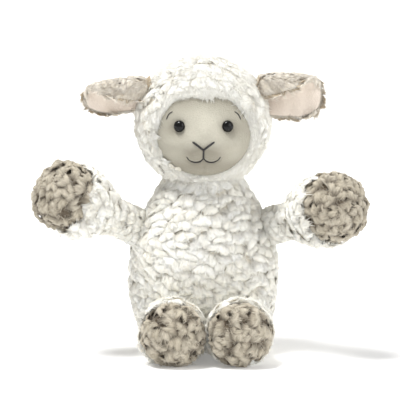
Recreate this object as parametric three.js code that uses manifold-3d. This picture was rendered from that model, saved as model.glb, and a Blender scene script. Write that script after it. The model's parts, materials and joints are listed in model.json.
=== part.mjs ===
// Plush sheep that sits with its arms held out. Millimetres, +Z up, the face looks along -Y.
// The origin lies on the floor, at the middle of the flat seat under the torso.

import * as THREE from 'three';
import { mergeVertices } from 'three/addons/utils/BufferGeometryUtils.js';
import Module from 'manifold-3d';

const wasm = await Module();
wasm.setup();

// Fits that the whole toy shares
const gap = 0.3; // between two faces that touch
const jointGap = 0.8; // between a ball root and the dish it turns in
const seatCut = 0.5; // how deep the soft underside is pressed flat
const coverWall = 4; // pile fabric, with its backing
const cutOverrun = 30; // how far a cutting body runs past what it cuts
const weldDistance = 1e-4; // corners nearer than this are one corner

// Torso
const torsoHalfWidth = 65;
const neckRimZ = 157.5;
const neckRadius = 36.5;
const bellyForward = 3;
const torsoDepthShare = 0.87;
const neckPlugRadius = 22;
const neckPlugDepth = 16;
const pelletHalfWidth = 34;
const pelletHalfDepth = 24;
const pelletHalfHeight = 12.5;
const pelletBack = 8;
const pelletMouthRadius = 18;

// Head: its ball sits in the dish of the neck, so the neck's rim sets how high it is
const headHalfWidth = 60;
const headHalfDepth = 57;
const headHalfHeight = 61;
const headBallRadius = 59;
const headCentreZ = neckRimZ + Math.sqrt((headBallRadius + jointGap) ** 2 - neckRadius ** 2);
const muzzleRise = 6.5;
const muzzleHalfWidth = 27;
const muzzleHalfHeight = 19;
const muzzleDrop = 14;

// Face
const faceHalfWidth = 42.5;
const faceHalfHeight = 37.4;
const faceDrop = 5.3;
const faceRecess = 2;

// Eyes
const eyeRadius = 5;
const eyeHeight = 4.2;
const eyeHalfSpacing = 21.5;
const eyeRise = 6.2;
const shankRadius = 1.6;
const shankLength = 10;
const washerRadius = 6;
const washerThickness = 1.5;
const washerSink = 2.6; // below the inner side of the face, on the filling

// Embroidered lines, as places on the face measured from the head's centre
const noseThread = 1.7;
const noseHalfWidth = 9.8;
const noseTopDrop = 7.9;
const noseTipDrop = 14.6;
const noseStemDrop = 23.2;
const mouthThread = 1.3;
const mouthHalfWidth = 15.1;
const mouthCornerDrop = 23;
const mouthBowDrop = 28.1;
const mouthMiddleDrop = 25.6;
const browThread = 0.8;
const browInner = 27.6;
const browOuter = 33.2;
const browInnerRise = 17.3;
const browOuterRise = 9.9;

// Ears
const earLength = 48.5;
const earHalfWidth = 30;
const earThickness = 7;
const earRootRadius = 11;
const earRootRise = 23;
const earRootBack = 3;
const earProud = 2;
const earSunk = 7;
const earFoldLift = 14; // from the root up to the line that the ear folds over at
const earPanelRadius = 45; // the gentle curl of the panel that hangs from the fold
const earFoldRootRadius = 6.5;
const earFoldTipRadius = 14;
const earFoldMostDeg = 165;
const earTipDrop = 9;
const liningThickness = 2;
const liningInset = 2.5;
const liningGap = 0.6;

// Arms
const shoulderX = 61;
const shoulderY = -8;
const shoulderZ = 112;
const armRootRadius = 15;
const armSeam = 56;
const armSeamRadius = 27.5;
const armLength = 102;
const pawRadius = 30.5;

// Legs
const hipX = 29.4;
const hipY = -55;
const legRootRadius = 25;
const legSeam = 26;
const legSeamRadius = 28;
const legLength = 57;
const footRadius = 28.5;

// Tail
const tailY = 56;
const tailZ = 46;
const tailRootRadius = 7;
const tailLength = 34;
const tailRadius = 9;

// Turns and shares that give the soft forms their character
const ballZoneDeg = 55;
const ballFadeDeg = 82;
const torsoOutlineShares = [
  [0, 0],
  [0.4, 0.005],
  [0.66, 0.025],
  [0.82, 0.083],
  [0.91, 0.176],
  [0.975, 0.284],
  [1, 0.39],
  [1, 0.475],
  [0.975, 0.56],
  [0.925, 0.645],
  [0.865, 0.725],
  [0.785, 0.8],
  [0.685, 0.868],
];
const armOutlineShares = [
  [0.5, 0.13],
  [0.5, 0.2],
  [0.58, 0.29],
  [0.74, 0.375],
  [0.85, 0.46],
];
const pawOutlineShares = [
  [0.96, 0.63],
  [1, 0.77],
  [0.96, 0.86],
  [0.79, 0.935],
  [0.43, 0.985],
];
const legOutlineShares = [
  [0.9, 0.14],
  [0.94, 0.3],
];
const footOutlineShares = [
  [1, 0.6],
  [0.95, 0.74],
  [0.76, 0.88],
  [0.42, 0.97],
];
const tailOutlineShares = [
  [0.66, 0.12],
  [0.78, 0.26],
  [1, 0.45],
  [0.86, 0.74],
  [0.46, 0.94],
];
const mouthBowShare = 0.52;
const earRootShare = 1.1;
const earSquareShare = 0.25; // how square the ear's outline is at its root
const earFlapDeg = [-20, -8, 4, 15];
const neckRoundShares = [0.55, 0.95]; // of the neck rim's height, where the torso turns round
const tailBackShare = 0.8; // how far back the tail points, for each step down
const browArchShare = 1 / 3; // of the brow's fall, at its middle

// How finely each form is drawn: the steps around it, and those from end to end
const torsoGrid = [24, 13];
const torsoInnerGrid = [18, 9];
const headGrid = [26, 16];
const headInnerGrid = [20, 12];
const headCutGrid = [24, 14];
const headDishGrid = [28, 20];
const armDishGrid = [14, 10];
const legDishGrid = [18, 12];
const smallBallGrid = [12, 8];
const pelletGrid = [14, 8];
const earGrid = [24, 12];
const rootArcSteps = 3;
const plugSteps = 16;
const smallRoundSteps = 12;
const eyeDomeSteps = 4;
const faceOvalSteps = 14;
const tailSteps = 8;
const threadSteps = { around: 3, wing: 5, stem: 4, mouth: 16, brow: 6 };
const depthRepeats = 8; // how often a depth on the face is worked out afresh

// What differs from one side to the other
const sides = {
  left: {
    hand: -1,
    armForwardDeg: 25,
    armUpDeg: 25,
    legOutDeg: -4,
    earOpenDeg: -22,
    earDroopDeg: 12,
    earForwardDeg: 6,
  },
  right: {
    hand: 1,
    armForwardDeg: 40,
    armUpDeg: 19,
    legOutDeg: 5,
    earOpenDeg: -10,
    earDroopDeg: 6,
    earForwardDeg: 6,
  },
};

// Materials, with the colours of the photographed toy
function cloth(color) {
  return new THREE.MeshStandardMaterial({ color, roughness: 0.95, metalness: 0 });
}
const materials = {
  whitePlush: () => cloth(0xf0eee4),
  beigePlush: () => cloth(0xbcb3a0),
  faceVelour: () => cloth(0xcbc7b8),
  earVelour: () => cloth(0xd6c6b5),
  thread: () => cloth(0x1c1b1a),
  filling: () => cloth(0xf7f6f2),
  pellets: () => cloth(0xd9d5c8),
  glossBlack: () =>
    new THREE.MeshStandardMaterial({ color: 0x0d0c0c, roughness: 0.12, metalness: 0 }),
  washer: () =>
    new THREE.MeshStandardMaterial({ color: 0xf2f2ef, roughness: 0.5, metalness: 0 }),
};

// Solids: three.js geometry in, geometry of one closed body out

// The closed body that a geometry bounds, with its faces outwards.
function asSolid(geometry) {
  const bare = geometry.clone();
  for (const name of Object.keys(bare.attributes)) {
    if (name !== 'position') bare.deleteAttribute(name);
  }
  const merged = mergeVertices(bare, weldDistance);
  const position = merged.attributes.position;
  const index = merged.index.array;
  const corners = [];
  for (let i = 0; i < index.length; i += 3) {
    const [a, b, c] = [index[i], index[i + 1], index[i + 2]];
    if (a !== b && b !== c && c !== a) corners.push(a, b, c);
  }
  const solid = (order) =>
    new wasm.Manifold(
      new wasm.Mesh({
        numProp: 3,
        vertProperties: new Float32Array(position.array),
        triVerts: new Uint32Array(order),
      }),
    );
  const first = solid(corners);
  if (first.volume() > 0) return first;
  return solid(corners.slice().reverse());
}

// A named mesh of a solid.
function piece(name, solid, material) {
  const mesh = solid.getMesh();
  const geometry = new THREE.BufferGeometry();
  geometry.setAttribute('position', new THREE.BufferAttribute(mesh.vertProperties, 3));
  geometry.setIndex(new THREE.BufferAttribute(mesh.triVerts, 1));
  geometry.computeVertexNormals();
  const made = new THREE.Mesh(geometry, material);
  made.name = name;
  return made;
}

// A solid of a geometry that is turned and moved into place first.
function placed(geometry, matrix) {
  return asSolid(geometry.clone().applyMatrix4(matrix));
}

function ball(radius, centre, [around, rows]) {
  const geometry = new THREE.SphereGeometry(radius, around, rows);
  return placed(geometry, new THREE.Matrix4().setPosition(centre));
}

// A cylinder from one point to another.
function rod(radius, from, to, around) {
  const along = to.clone().sub(from);
  const turn = new THREE.Quaternion().setFromUnitVectors(
    new THREE.Vector3(0, 1, 0),
    along.clone().normalize(),
  );
  const middle = from.clone().addScaledVector(along, 1 / 2);
  const matrix = new THREE.Matrix4().compose(middle, turn, new THREE.Vector3(1, 1, 1));
  return placed(new THREE.CylinderGeometry(radius, radius, along.length(), around), matrix);
}

// A tube of thread along points, with flat ends.
function thread(points, diameter, steps) {
  const circle = new THREE.Shape();
  circle.absarc(0, 0, diameter / 2, 0, 2 * Math.PI);
  const path = new THREE.CatmullRomCurve3(points, false, 'centripetal');
  return asSolid(
    new THREE.ExtrudeGeometry(circle, { steps, curveSegments: threadSteps.around, extrudePath: path }),
  );
}

// Outlines: points of radius and height, from the axis round to the axis

// A smooth run through points, with the given number of steps.
function smooth(points, steps) {
  return new THREE.SplineCurve(points).getPoints(steps);
}

// An outline moved inwards by a distance, square to itself.
function inset(outline, distance) {
  return outline.map((point, i) => {
    const before = outline[Math.max(i - 1, 0)];
    const after = outline[Math.min(i + 1, outline.length - 1)];
    const along = after.clone().sub(before).normalize();
    const moved = new THREE.Vector2(point.x - along.y * distance, point.y + along.x * distance);
    if (point.x === 0) return new THREE.Vector2(0, point.y + Math.sign(along.x) * distance);
    return moved;
  });
}

// The quarter circle of a ball root, from its pole to its equator at height zero.
function rootArc(radius, steps) {
  const points = [];
  for (let i = 0; i < steps; i += 1) {
    const turn = (i / steps) * (Math.PI / 2);
    points.push(new THREE.Vector2(radius * Math.sin(turn), -radius * Math.cos(turn)));
  }
  points[0].x = 0;
  return points;
}

// Torso form

// The torso's outline, in half width and height, up to a closed top for the head's dish to cut.
function torsoOutline(steps) {
  const points = torsoOutlineShares.map(
    ([across, up]) => new THREE.Vector2(across * torsoHalfWidth, up * neckRimZ - seatCut),
  );
  points.push(new THREE.Vector2(neckRadius, neckRimZ - coverWall));
  points.push(new THREE.Vector2(neckRadius, neckRimZ + coverWall));
  const run = smooth(points, steps);
  run[0].x = 0;
  run.push(new THREE.Vector2(neckRadius, neckRimZ + cutOverrun));
  run.push(new THREE.Vector2(0, neckRimZ + cutOverrun));
  return run;
}

// The torso's form, a given distance inside its surface: shallower than wide, except at its neck.
function torsoForm(distance, [around, rows]) {
  const outline = inset(torsoOutline(rows), distance);
  const geometry = new THREE.LatheGeometry(outline, around);
  geometry.rotateX(Math.PI / 2);
  const position = geometry.attributes.position;
  for (let i = 0; i < position.count; i += 1) {
    const up = position.getZ(i) / neckRimZ;
    const round = THREE.MathUtils.smoothstep(up, ...neckRoundShares);
    const depth = THREE.MathUtils.lerp(torsoDepthShare, 1, round);
    const forward = bellyForward * Math.sin(Math.PI * THREE.MathUtils.clamp(up, 0, 1));
    position.setY(i, position.getY(i) * depth - forward);
  }
  return asSolid(geometry);
}

const headCentre = new THREE.Vector3(0, 0, headCentreZ);

function floorCut(solid) {
  const width = 4 * torsoHalfWidth;
  const slab = new THREE.BoxGeometry(width, width, cutOverrun);
  return solid.subtract(
    placed(slab, new THREE.Matrix4().setPosition(0, hipY, -cutOverrun / 2)),
  );
}

// The places and directions of the limbs, ears and tail
function armAxis(side) {
  const forward = THREE.MathUtils.degToRad(side.armForwardDeg);
  const up = THREE.MathUtils.degToRad(side.armUpDeg);
  return new THREE.Vector3(
    side.hand * Math.cos(up) * Math.cos(forward),
    -Math.cos(up) * Math.sin(forward),
    Math.sin(up),
  );
}

function shoulder(side) {
  return new THREE.Vector3(side.hand * shoulderX, shoulderY, shoulderZ);
}

function legAxis(side) {
  const out = THREE.MathUtils.degToRad(side.legOutDeg);
  return new THREE.Vector3(side.hand * Math.sin(out), -Math.cos(out), 0);
}

function hip(side) {
  return new THREE.Vector3(side.hand * hipX, hipY, footRadius - seatCut);
}

const tailRoot = new THREE.Vector3(0, tailY, tailZ);
const tailAxis = new THREE.Vector3(0, tailBackShare, -1).normalize();

// The head's radius in a direction: a ball below, where the neck carries it, and an egg above.
// In front a muzzle rises from it.
function headRadius(direction) {
  const egg =
    1 /
    Math.hypot(
      direction.x / headHalfWidth,
      direction.y / headHalfDepth,
      direction.z / headHalfHeight,
    );
  const polar = THREE.MathUtils.radToDeg(Math.acos(THREE.MathUtils.clamp(-direction.z, -1, 1)));
  const share = THREE.MathUtils.smoothstep(polar, ballZoneDeg, ballFadeDeg);
  const radius = THREE.MathUtils.lerp(headBallRadius, egg, share);
  if (direction.y >= 0) return radius;
  const across = (direction.x * radius) / muzzleHalfWidth;
  const up = (direction.z * radius + muzzleDrop) / muzzleHalfHeight;
  return radius + muzzleRise * share * Math.exp(-across * across - up * up);
}

// The head's form, a given distance inside its surface.
function headForm(distance, [around, rows]) {
  const geometry = new THREE.SphereGeometry(1, around, rows);
  const position = geometry.attributes.position;
  const direction = new THREE.Vector3();
  for (let i = 0; i < position.count; i += 1) {
    direction.fromBufferAttribute(position, i).normalize();
    const radius = headRadius(direction) - distance;
    position.setXYZ(i, direction.x * radius, direction.y * radius, direction.z * radius);
  }
  geometry.translate(0, 0, headCentreZ);
  return asSolid(geometry);
}

// The oval post that the face opening is cut with, drawn in by a clearance.
function facePost(clearance) {
  const oval = new THREE.Shape();
  oval.absellipse(
    0,
    0,
    faceHalfWidth - clearance,
    faceHalfHeight - clearance,
    0,
    2 * Math.PI,
    false,
    0,
  );
  const depth = headHalfDepth + cutOverrun;
  const drawing = { depth, bevelEnabled: false, curveSegments: faceOvalSteps };
  const post = new THREE.ExtrudeGeometry(oval, drawing);
  post.rotateX(Math.PI / 2);
  post.translate(0, 0, headCentreZ - faceDrop);
  return asSolid(post);
}

// The point on the face at a place across and up from the head's centre, lifted off the face.
function onFace(across, up, lift) {
  const point = new THREE.Vector3(across, -headHalfDepth, up);
  for (let turn = 0; turn < depthRepeats; turn += 1) {
    const radius = headRadius(point.clone().normalize()) - faceRecess + lift;
    point.y = -Math.sqrt(radius * radius - across * across - up * up);
  }
  return point.add(headCentre);
}

// The eye's seat on the face, and the direction that it looks in.
function eyeSeat(side) {
  const seat = onFace(side.hand * eyeHalfSpacing, eyeRise, 2 * gap);
  return { seat, outward: seat.clone().sub(headCentre).normalize() };
}

// Ears

// The ear's directions: along it, up across it, and out of its open side.
function earFrame(side) {
  const droop = THREE.MathUtils.degToRad(side.earDroopDeg);
  const forward = THREE.MathUtils.degToRad(side.earForwardDeg);
  const along = new THREE.Vector3(
    side.hand * Math.cos(droop) * Math.cos(forward),
    -Math.cos(droop) * Math.sin(forward),
    -Math.sin(droop),
  );
  const open = THREE.MathUtils.degToRad(side.earOpenDeg);
  const facing = new THREE.Vector3(0, -Math.cos(open), Math.sin(open));
  facing.addScaledVector(along, -facing.dot(along)).normalize();
  const across = new THREE.Vector3().crossVectors(facing, along).multiplyScalar(side.hand);
  return { along, across, facing };
}

// The ear's root: on the head's surface, and a little proud of it.
function earRoot(side) {
  const direction = new THREE.Vector3(side.hand * headHalfWidth, earRootBack, earRootRise);
  direction.normalize();
  return direction.clone().multiplyScalar(headRadius(direction) + earProud).add(headCentre);
}

// How far across and out an arc from the ear's fold line reaches, with the direction out of it there.
// Above the line the ear folds over tightly, and then runs straight. Below it hangs in a gentle curl.
function earSection(arc, foldRadius) {
  const radius = arc > 0 ? foldRadius : -earPanelRadius;
  const turn = Math.min(arc / radius, THREE.MathUtils.degToRad(earFoldMostDeg));
  const rest = Math.max(Math.abs(arc) - Math.abs(radius) * turn, 0);
  const bent = Math.abs(radius);
  const hand = Math.sign(radius);
  return {
    across: hand * (bent * Math.sin(turn) + rest * Math.cos(turn)),
    out: bent * (1 - Math.cos(turn)) + rest * Math.sin(turn),
    normal: [-hand * Math.sin(turn), Math.cos(turn)],
  };
}

// A leaf: a ball flattened to an oval pad, broad at its root, and folded about its length.
// It is drawn in from the rim by an inset, and lies a rise above the ear's middle surface.
function earLeaf(side, rimInset, thickness, rise) {
  const geometry = new THREE.SphereGeometry(1, ...earGrid);
  geometry.rotateZ(Math.PI / 2);
  const position = geometry.attributes.position;
  const halfLength = (earLength + earSunk) / 2;
  const alongShare = (halfLength - rimInset) / halfLength;
  const acrossShare = (earHalfWidth - rimInset) / earHalfWidth;
  const { along, across, facing } = earFrame(side);
  const start = earRoot(side).addScaledVector(across, earFoldLift);
  const point = new THREE.Vector3();
  for (let i = 0; i < position.count; i += 1) {
    const a = position.getX(i) * alongShare;
    const b = position.getY(i) * acrossShare;
    const rootward = Math.min(a, 0) ** 2;
    const squarer = ((1 + rootward) / Math.max(1 - rootward, weldDistance)) ** earSquareShare;
    const narrow = THREE.MathUtils.lerp(earRootShare, 1, THREE.MathUtils.smoothstep(a, -1, 0));
    const arc = b * earHalfWidth * narrow * squarer - earTipDrop * Math.max(a, 0) ** 2;
    const foldRadius = THREE.MathUtils.lerp(earFoldRootRadius, earFoldTipRadius, (a + 1) / 2);
    const section = earSection(arc, foldRadius);
    const middle = rise(Math.sqrt(Math.max(1 - a * a - b * b, 0)));
    const up = middle + (position.getZ(i) * thickness) / 2;
    point.copy(start);
    point.addScaledVector(along, a * halfLength + halfLength - earSunk);
    point.addScaledVector(across, section.across + up * section.normal[0]);
    point.addScaledVector(facing, section.out + up * section.normal[1]);
    position.setXYZ(i, point.x, point.y, point.z);
  }
  return asSolid(geometry);
}

// What is left of a leaf once it clears the head wherever the ear is flapped to.
function clearOfHead(leaf, side) {
  const { along } = earFrame(side);
  const axis = new THREE.Vector3(along.y, -along.x, 0).normalize();
  const root = earRoot(side);
  const head = headForm(-jointGap, headCutGrid);
  let left = leaf;
  for (const degrees of earFlapDeg) {
    const turn = new THREE.Matrix4().setPosition(root);
    turn.multiply(
      new THREE.Matrix4().makeRotationAxis(axis, THREE.MathUtils.degToRad(-degrees)),
    );
    turn.multiply(new THREE.Matrix4().setPosition(root.clone().negate()));
    left = left.subtract(head.transform(turn.toArray()));
  }
  return left;
}

function ear(sideName) {
  const side = sides[sideName];
  const leaf = clearOfHead(earLeaf(side, 0, earThickness, () => 0), side);
  const root = ball(earRootRadius, earRoot(side), smallBallGrid);
  const lining = earLeaf(
    side,
    liningInset,
    liningThickness,
    (dome) => (dome * earThickness) / 2 + liningGap + liningThickness / 2,
  );
  const group = new THREE.Group();
  group.add(piece(`ear_outer_${sideName}`, leaf.add(root), materials.beigePlush()));
  const trimmed = clearOfHead(lining, side).subtract(
    ball(earRootRadius + gap, earRoot(side), smallBallGrid),
  );
  group.add(piece(`ear_lining_${sideName}`, trimmed, materials.earVelour()));
  return group;
}

// Limbs

// The two outlines of a limb that starts as a ball: up to its seam, and from the seam to its tip.
function limbOutlines(limb) {
  const { rootRadius, seam, seamRadius, length, endRadius } = limb;
  const point = ([across, up]) => new THREE.Vector2(across * endRadius, up * length);
  const seamPoint = new THREE.Vector2(seamRadius, seam);
  const upper = smooth(
    [new THREE.Vector2(rootRadius, 0), ...limb.upperShares.map(point), seamPoint],
    limb.upperSteps,
  );
  const lower = smooth(
    [seamPoint, ...limb.endShares.map(point), new THREE.Vector2(0, length)],
    limb.endSteps,
  );
  lower[lower.length - 1].x = 0;
  return { upper: [...rootArc(rootRadius, rootArcSteps), ...upper], lower };
}

// A limb as three solids along +Y from its joint: the cover, the end cap, and the filling in both.
function limbSolids(limb) {
  const { upper, lower } = limbOutlines(limb);
  const whole = [...upper, ...lower.slice(1)];
  const split = upper.length;
  const within = inset(whole, coverWall);
  const core = inset(whole, coverWall + gap);
  const shift = gap / 2;
  const rim = (points, index) => new THREE.Vector2(points[index].x, limb.seam);
  const upperIn = [...within.slice(0, split - 1), rim(within, split - 1)];
  const lowerIn = [rim(within, split - 1), ...within.slice(split)];
  const lowered = (points) =>
    points.map((point) => new THREE.Vector2(point.x, Math.min(point.y, limb.seam - shift)));
  const raised = (points) =>
    points.map((point) => new THREE.Vector2(point.x, Math.max(point.y, limb.seam + shift)));
  const cover = [...lowered(upper), ...lowered(upperIn).reverse()];
  const cap = [...raised(lowerIn).reverse(), ...raised(lower)].reverse();
  const lathe = (points) => new THREE.LatheGeometry(points, limb.around);
  return { cover: lathe(cover), cap: lathe(cap), core: lathe(core) };
}

function limbMatrix(root, axis) {
  const turn = new THREE.Quaternion().setFromUnitVectors(new THREE.Vector3(0, 1, 0), axis);
  return new THREE.Matrix4().compose(root, turn, new THREE.Vector3(1, 1, 1));
}

const armLimb = {
  rootRadius: armRootRadius,
  seam: armSeam,
  seamRadius: armSeamRadius,
  length: armLength,
  endRadius: pawRadius,
  upperShares: armOutlineShares,
  endShares: pawOutlineShares,
  upperSteps: 5,
  endSteps: 6,
  around: 14,
};

const legLimb = {
  rootRadius: legRootRadius,
  seam: legSeam,
  seamRadius: legSeamRadius,
  length: legLength,
  endRadius: footRadius,
  upperShares: legOutlineShares,
  endShares: footOutlineShares,
  upperSteps: 3,
  endSteps: 5,
  around: 16,
};

function arm(sideName) {
  const side = sides[sideName];
  const matrix = limbMatrix(shoulder(side), armAxis(side));
  const made = limbSolids(armLimb);
  const group = new THREE.Group();
  const add = (name, geometry, material) =>
    group.add(piece(`${name}_${sideName}`, placed(geometry, matrix), material));
  add('arm_cover', made.cover, materials.whitePlush());
  add('paw', made.cap, materials.beigePlush());
  add('arm_filling', made.core, materials.filling());
  return group;
}

function leg(sideName) {
  const side = sides[sideName];
  const matrix = limbMatrix(hip(side), legAxis(side));
  const made = limbSolids(legLimb);
  const group = new THREE.Group();
  const add = (name, geometry, material) =>
    group.add(piece(`${name}_${sideName}`, floorCut(placed(geometry, matrix)), material));
  add('leg_cover', made.cover, materials.whitePlush());
  add('foot', made.cap, materials.beigePlush());
  add('leg_filling', made.core, materials.filling());
  return group;
}

function tail() {
  const shares = tailOutlineShares.map(
    ([across, up]) => new THREE.Vector2(across * tailRadius, up * tailLength),
  );
  const run = smooth(
    [new THREE.Vector2(tailRootRadius, 0), ...shares, new THREE.Vector2(0, tailLength)],
    tailSteps,
  );
  run[run.length - 1].x = 0;
  const outline = [...rootArc(tailRootRadius, rootArcSteps), ...run];
  const geometry = new THREE.LatheGeometry(outline, smallRoundSteps);
  const solid = placed(geometry, limbMatrix(tailRoot, tailAxis));
  return piece('tail', solid, materials.whitePlush());
}

// Torso pieces, with a dish for each thing that turns in it
function torso() {
  const group = new THREE.Group();
  const dishes = [
    ball(headBallRadius + jointGap, headCentre, headDishGrid),
    ball(tailRootRadius + jointGap, tailRoot, smallBallGrid),
  ];
  for (const side of Object.values(sides)) {
    dishes.push(ball(armRootRadius + jointGap, shoulder(side), armDishGrid));
    dishes.push(ball(legRootRadius + jointGap, hip(side), legDishGrid));
  }
  let cover = floorCut(torsoForm(0, torsoGrid)).subtract(torsoForm(coverWall, torsoInnerGrid));
  let filling = torsoForm(coverWall + gap, torsoInnerGrid);
  for (const dish of dishes) {
    cover = cover.subtract(dish);
    filling = filling.subtract(dish);
  }

  const plugFloor = headCentreZ - headBallRadius - neckPlugDepth;
  const rodAt = (radius, from, to, back) =>
    rod(radius, new THREE.Vector3(0, back, from), new THREE.Vector3(0, back, to), plugSteps);
  const plug = rodAt(neckPlugRadius, plugFloor, headCentreZ, 0).subtract(dishes[0]);
  filling = filling.subtract(rodAt(neckPlugRadius + jointGap, plugFloor - gap, headCentreZ, 0));

  const pelletZ = coverWall + gap + pelletHalfHeight;
  const pellets = (grow) => {
    const size = [pelletHalfWidth, pelletHalfDepth, pelletHalfHeight].map((half) => half + grow);
    const matrix = new THREE.Matrix4().makeScale(...size).setPosition(0, pelletBack, pelletZ);
    return placed(new THREE.SphereGeometry(1, ...pelletGrid).rotateX(Math.PI / 2), matrix);
  };
  filling = filling.subtract(pellets(gap));
  filling = filling.subtract(rodAt(pelletMouthRadius, -seatCut, pelletZ, pelletBack));

  group.add(piece('torso_cover', cover, materials.whitePlush()));
  group.add(piece('torso_filling', filling, materials.filling()));
  group.add(piece('neck_filling', plug, materials.filling()));
  group.add(piece('seat_pellet_bag', pellets(0), materials.pellets()));
  return group;
}

// An eye: a glossy dome on a shank, and the washer that locks it behind the face
function eye(sideName) {
  const { seat, outward } = eyeSeat(sides[sideName]);
  const matrix = limbMatrix(seat, outward);
  const outline = [
    new THREE.Vector2(0, -shankLength),
    new THREE.Vector2(shankRadius, -shankLength),
    new THREE.Vector2(shankRadius, 0),
  ];
  for (let i = 0; i <= eyeDomeSteps; i += 1) {
    const turn = (i / eyeDomeSteps) * (Math.PI / 2);
    outline.push(new THREE.Vector2(eyeRadius * Math.cos(turn), eyeHeight * Math.sin(turn)));
  }
  outline[outline.length - 1].x = 0;
  const top = -(coverWall - faceRecess) - washerSink;
  const hole = shankRadius + gap;
  const washer = [
    new THREE.Vector2(hole, top - washerThickness),
    new THREE.Vector2(washerRadius, top - washerThickness),
    new THREE.Vector2(washerRadius, top),
    new THREE.Vector2(hole, top),
    new THREE.Vector2(hole, top - washerThickness),
  ];
  const group = new THREE.Group();
  const add = (name, points, material) => {
    const solid = placed(new THREE.LatheGeometry(points, smallRoundSteps), matrix);
    group.add(piece(`${name}_${sideName}`, solid, material));
  };
  add('eye', outline, materials.glossBlack());
  add('eye_washer', washer, materials.washer());
  return group;
}

// Head pieces
function head() {
  const group = new THREE.Group();
  const inside = headForm(coverWall, headInnerGrid);
  let cover = headForm(0, headGrid).subtract(inside).subtract(facePost(0));
  let filling = headForm(coverWall + gap, headInnerGrid);
  for (const side of Object.values(sides)) {
    const dish = ball(earRootRadius + jointGap, earRoot(side), smallBallGrid);
    cover = cover.subtract(dish);
    filling = filling.subtract(dish);
  }
  let face = headForm(faceRecess, headGrid).intersect(facePost(gap)).subtract(inside);
  for (const side of Object.values(sides)) {
    const { seat, outward } = eyeSeat(side);
    const at = (depth) => seat.clone().addScaledVector(outward, -depth);
    const washerDepth = coverWall - faceRecess + washerSink + washerThickness;
    const hole = (radius, from, to) => rod(radius + gap, at(from), at(to), smallRoundSteps);
    face = face.subtract(hole(shankRadius, shankLength, -shankLength));
    filling = filling.subtract(hole(shankRadius, shankLength + gap, 0));
    filling = filling.subtract(hole(washerRadius, washerDepth + gap, 0));
  }
  group.add(piece('head_cover', cover, materials.whitePlush()));
  group.add(piece('face_panel', face, materials.faceVelour()));
  group.add(piece('head_filling', filling, materials.filling()));
  return group;
}

// Embroidery on the face
function embroidery() {
  const group = new THREE.Group();
  const line = (places, diameter, steps) => {
    const points = places.map(([across, up]) => onFace(across, up, 2 * gap + diameter / 2));
    return thread(points, diameter, steps);
  };
  const wing = (hand) =>
    line([[hand * noseHalfWidth, -noseTopDrop], [0, -noseTipDrop]], noseThread, threadSteps.wing);
  const stem = line([[0, -noseTipDrop], [0, -noseStemDrop]], noseThread, threadSteps.stem);
  group.add(piece('nose_stitching', wing(-1).add(wing(1)).add(stem), materials.thread()));

  const bow = mouthBowShare * mouthHalfWidth;
  const mouth = [
    [-mouthHalfWidth, -mouthCornerDrop],
    [-bow, -mouthBowDrop],
    [0, -mouthMiddleDrop],
    [bow, -mouthBowDrop],
    [mouthHalfWidth, -mouthCornerDrop],
  ];
  const bows = line(mouth, mouthThread, threadSteps.mouth);
  group.add(piece('mouth_stitching', bows, materials.thread()));

  for (const [sideName, side] of Object.entries(sides)) {
    const middle = (browInner + browOuter) / 2;
    const arch = browInnerRise - (browInnerRise - browOuterRise) * browArchShare;
    const brow = [
      [side.hand * browInner, browInnerRise],
      [side.hand * middle, arch],
      [side.hand * browOuter, browOuterRise],
    ];
    const arc = line(brow, browThread, threadSteps.brow);
    group.add(piece(`brow_${sideName}`, arc, materials.thread()));
  }
  return group;
}

const sheep = new THREE.Group();
sheep.name = 'plush_sheep';
sheep.add(torso(), head(), embroidery(), tail());
for (const sideName of Object.keys(sides)) {
  sheep.add(eye(sideName), ear(sideName), arm(sideName), leg(sideName));
}

export default sheep;
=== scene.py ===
"""Plush sheep that sits with its arms held out: its looks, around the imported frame.

Sizes in the classes are in millimetres, in the frame's axes: +Z up, the face looks along -Y.
Every mesh is written in metres.
"""

from __future__ import annotations

import json
import logging
import math
from dataclasses import dataclass
from enum import Enum

import bpy
import numpy as np
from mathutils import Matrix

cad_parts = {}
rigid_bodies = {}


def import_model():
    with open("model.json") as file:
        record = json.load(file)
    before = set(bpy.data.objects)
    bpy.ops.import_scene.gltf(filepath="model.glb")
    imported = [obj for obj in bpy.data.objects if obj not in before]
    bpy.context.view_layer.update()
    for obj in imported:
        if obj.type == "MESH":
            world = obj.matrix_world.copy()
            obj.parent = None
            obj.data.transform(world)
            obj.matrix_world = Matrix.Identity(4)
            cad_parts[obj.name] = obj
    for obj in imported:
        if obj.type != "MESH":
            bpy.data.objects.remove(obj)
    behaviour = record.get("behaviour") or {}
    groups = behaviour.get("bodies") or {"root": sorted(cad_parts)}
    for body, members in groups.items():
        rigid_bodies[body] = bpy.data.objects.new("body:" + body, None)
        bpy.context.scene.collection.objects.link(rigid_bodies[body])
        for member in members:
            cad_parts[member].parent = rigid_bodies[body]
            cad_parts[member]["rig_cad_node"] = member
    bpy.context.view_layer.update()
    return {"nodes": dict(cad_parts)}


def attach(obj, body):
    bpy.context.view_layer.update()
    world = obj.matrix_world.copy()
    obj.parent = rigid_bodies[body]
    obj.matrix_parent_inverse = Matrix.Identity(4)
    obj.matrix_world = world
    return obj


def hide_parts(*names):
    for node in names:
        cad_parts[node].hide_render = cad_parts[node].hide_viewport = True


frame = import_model()

MM = 0.001
TAU = 2 * math.pi
SEED = 7
LOG = logging.getLogger("sheep")

# How many sine waves make the smooth noise, and what their sum usually reaches
WAVE_COUNT = 8
WAVE_PEAK = 3.2

# How deep a fibre's root lies, and how high its ridge stands as a share of its width
FIBRE_SUNK = 0.12
FIBRE_RIDGE = 0.3

# A zone, from where something starts to where it is full, and a row of pairs
Zone = tuple[float, float]
Pairs = tuple[tuple[float, float], ...]


class Side(Enum):
    """The two sides of the toy, as the viewer sees them."""

    LEFT = "left"
    RIGHT = "right"

    @property
    def hand(self) -> int:
        """-1 on the viewer's left and 1 on the right."""
        return -1 if self is Side.LEFT else 1


# Plain arithmetic on arrays


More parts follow.
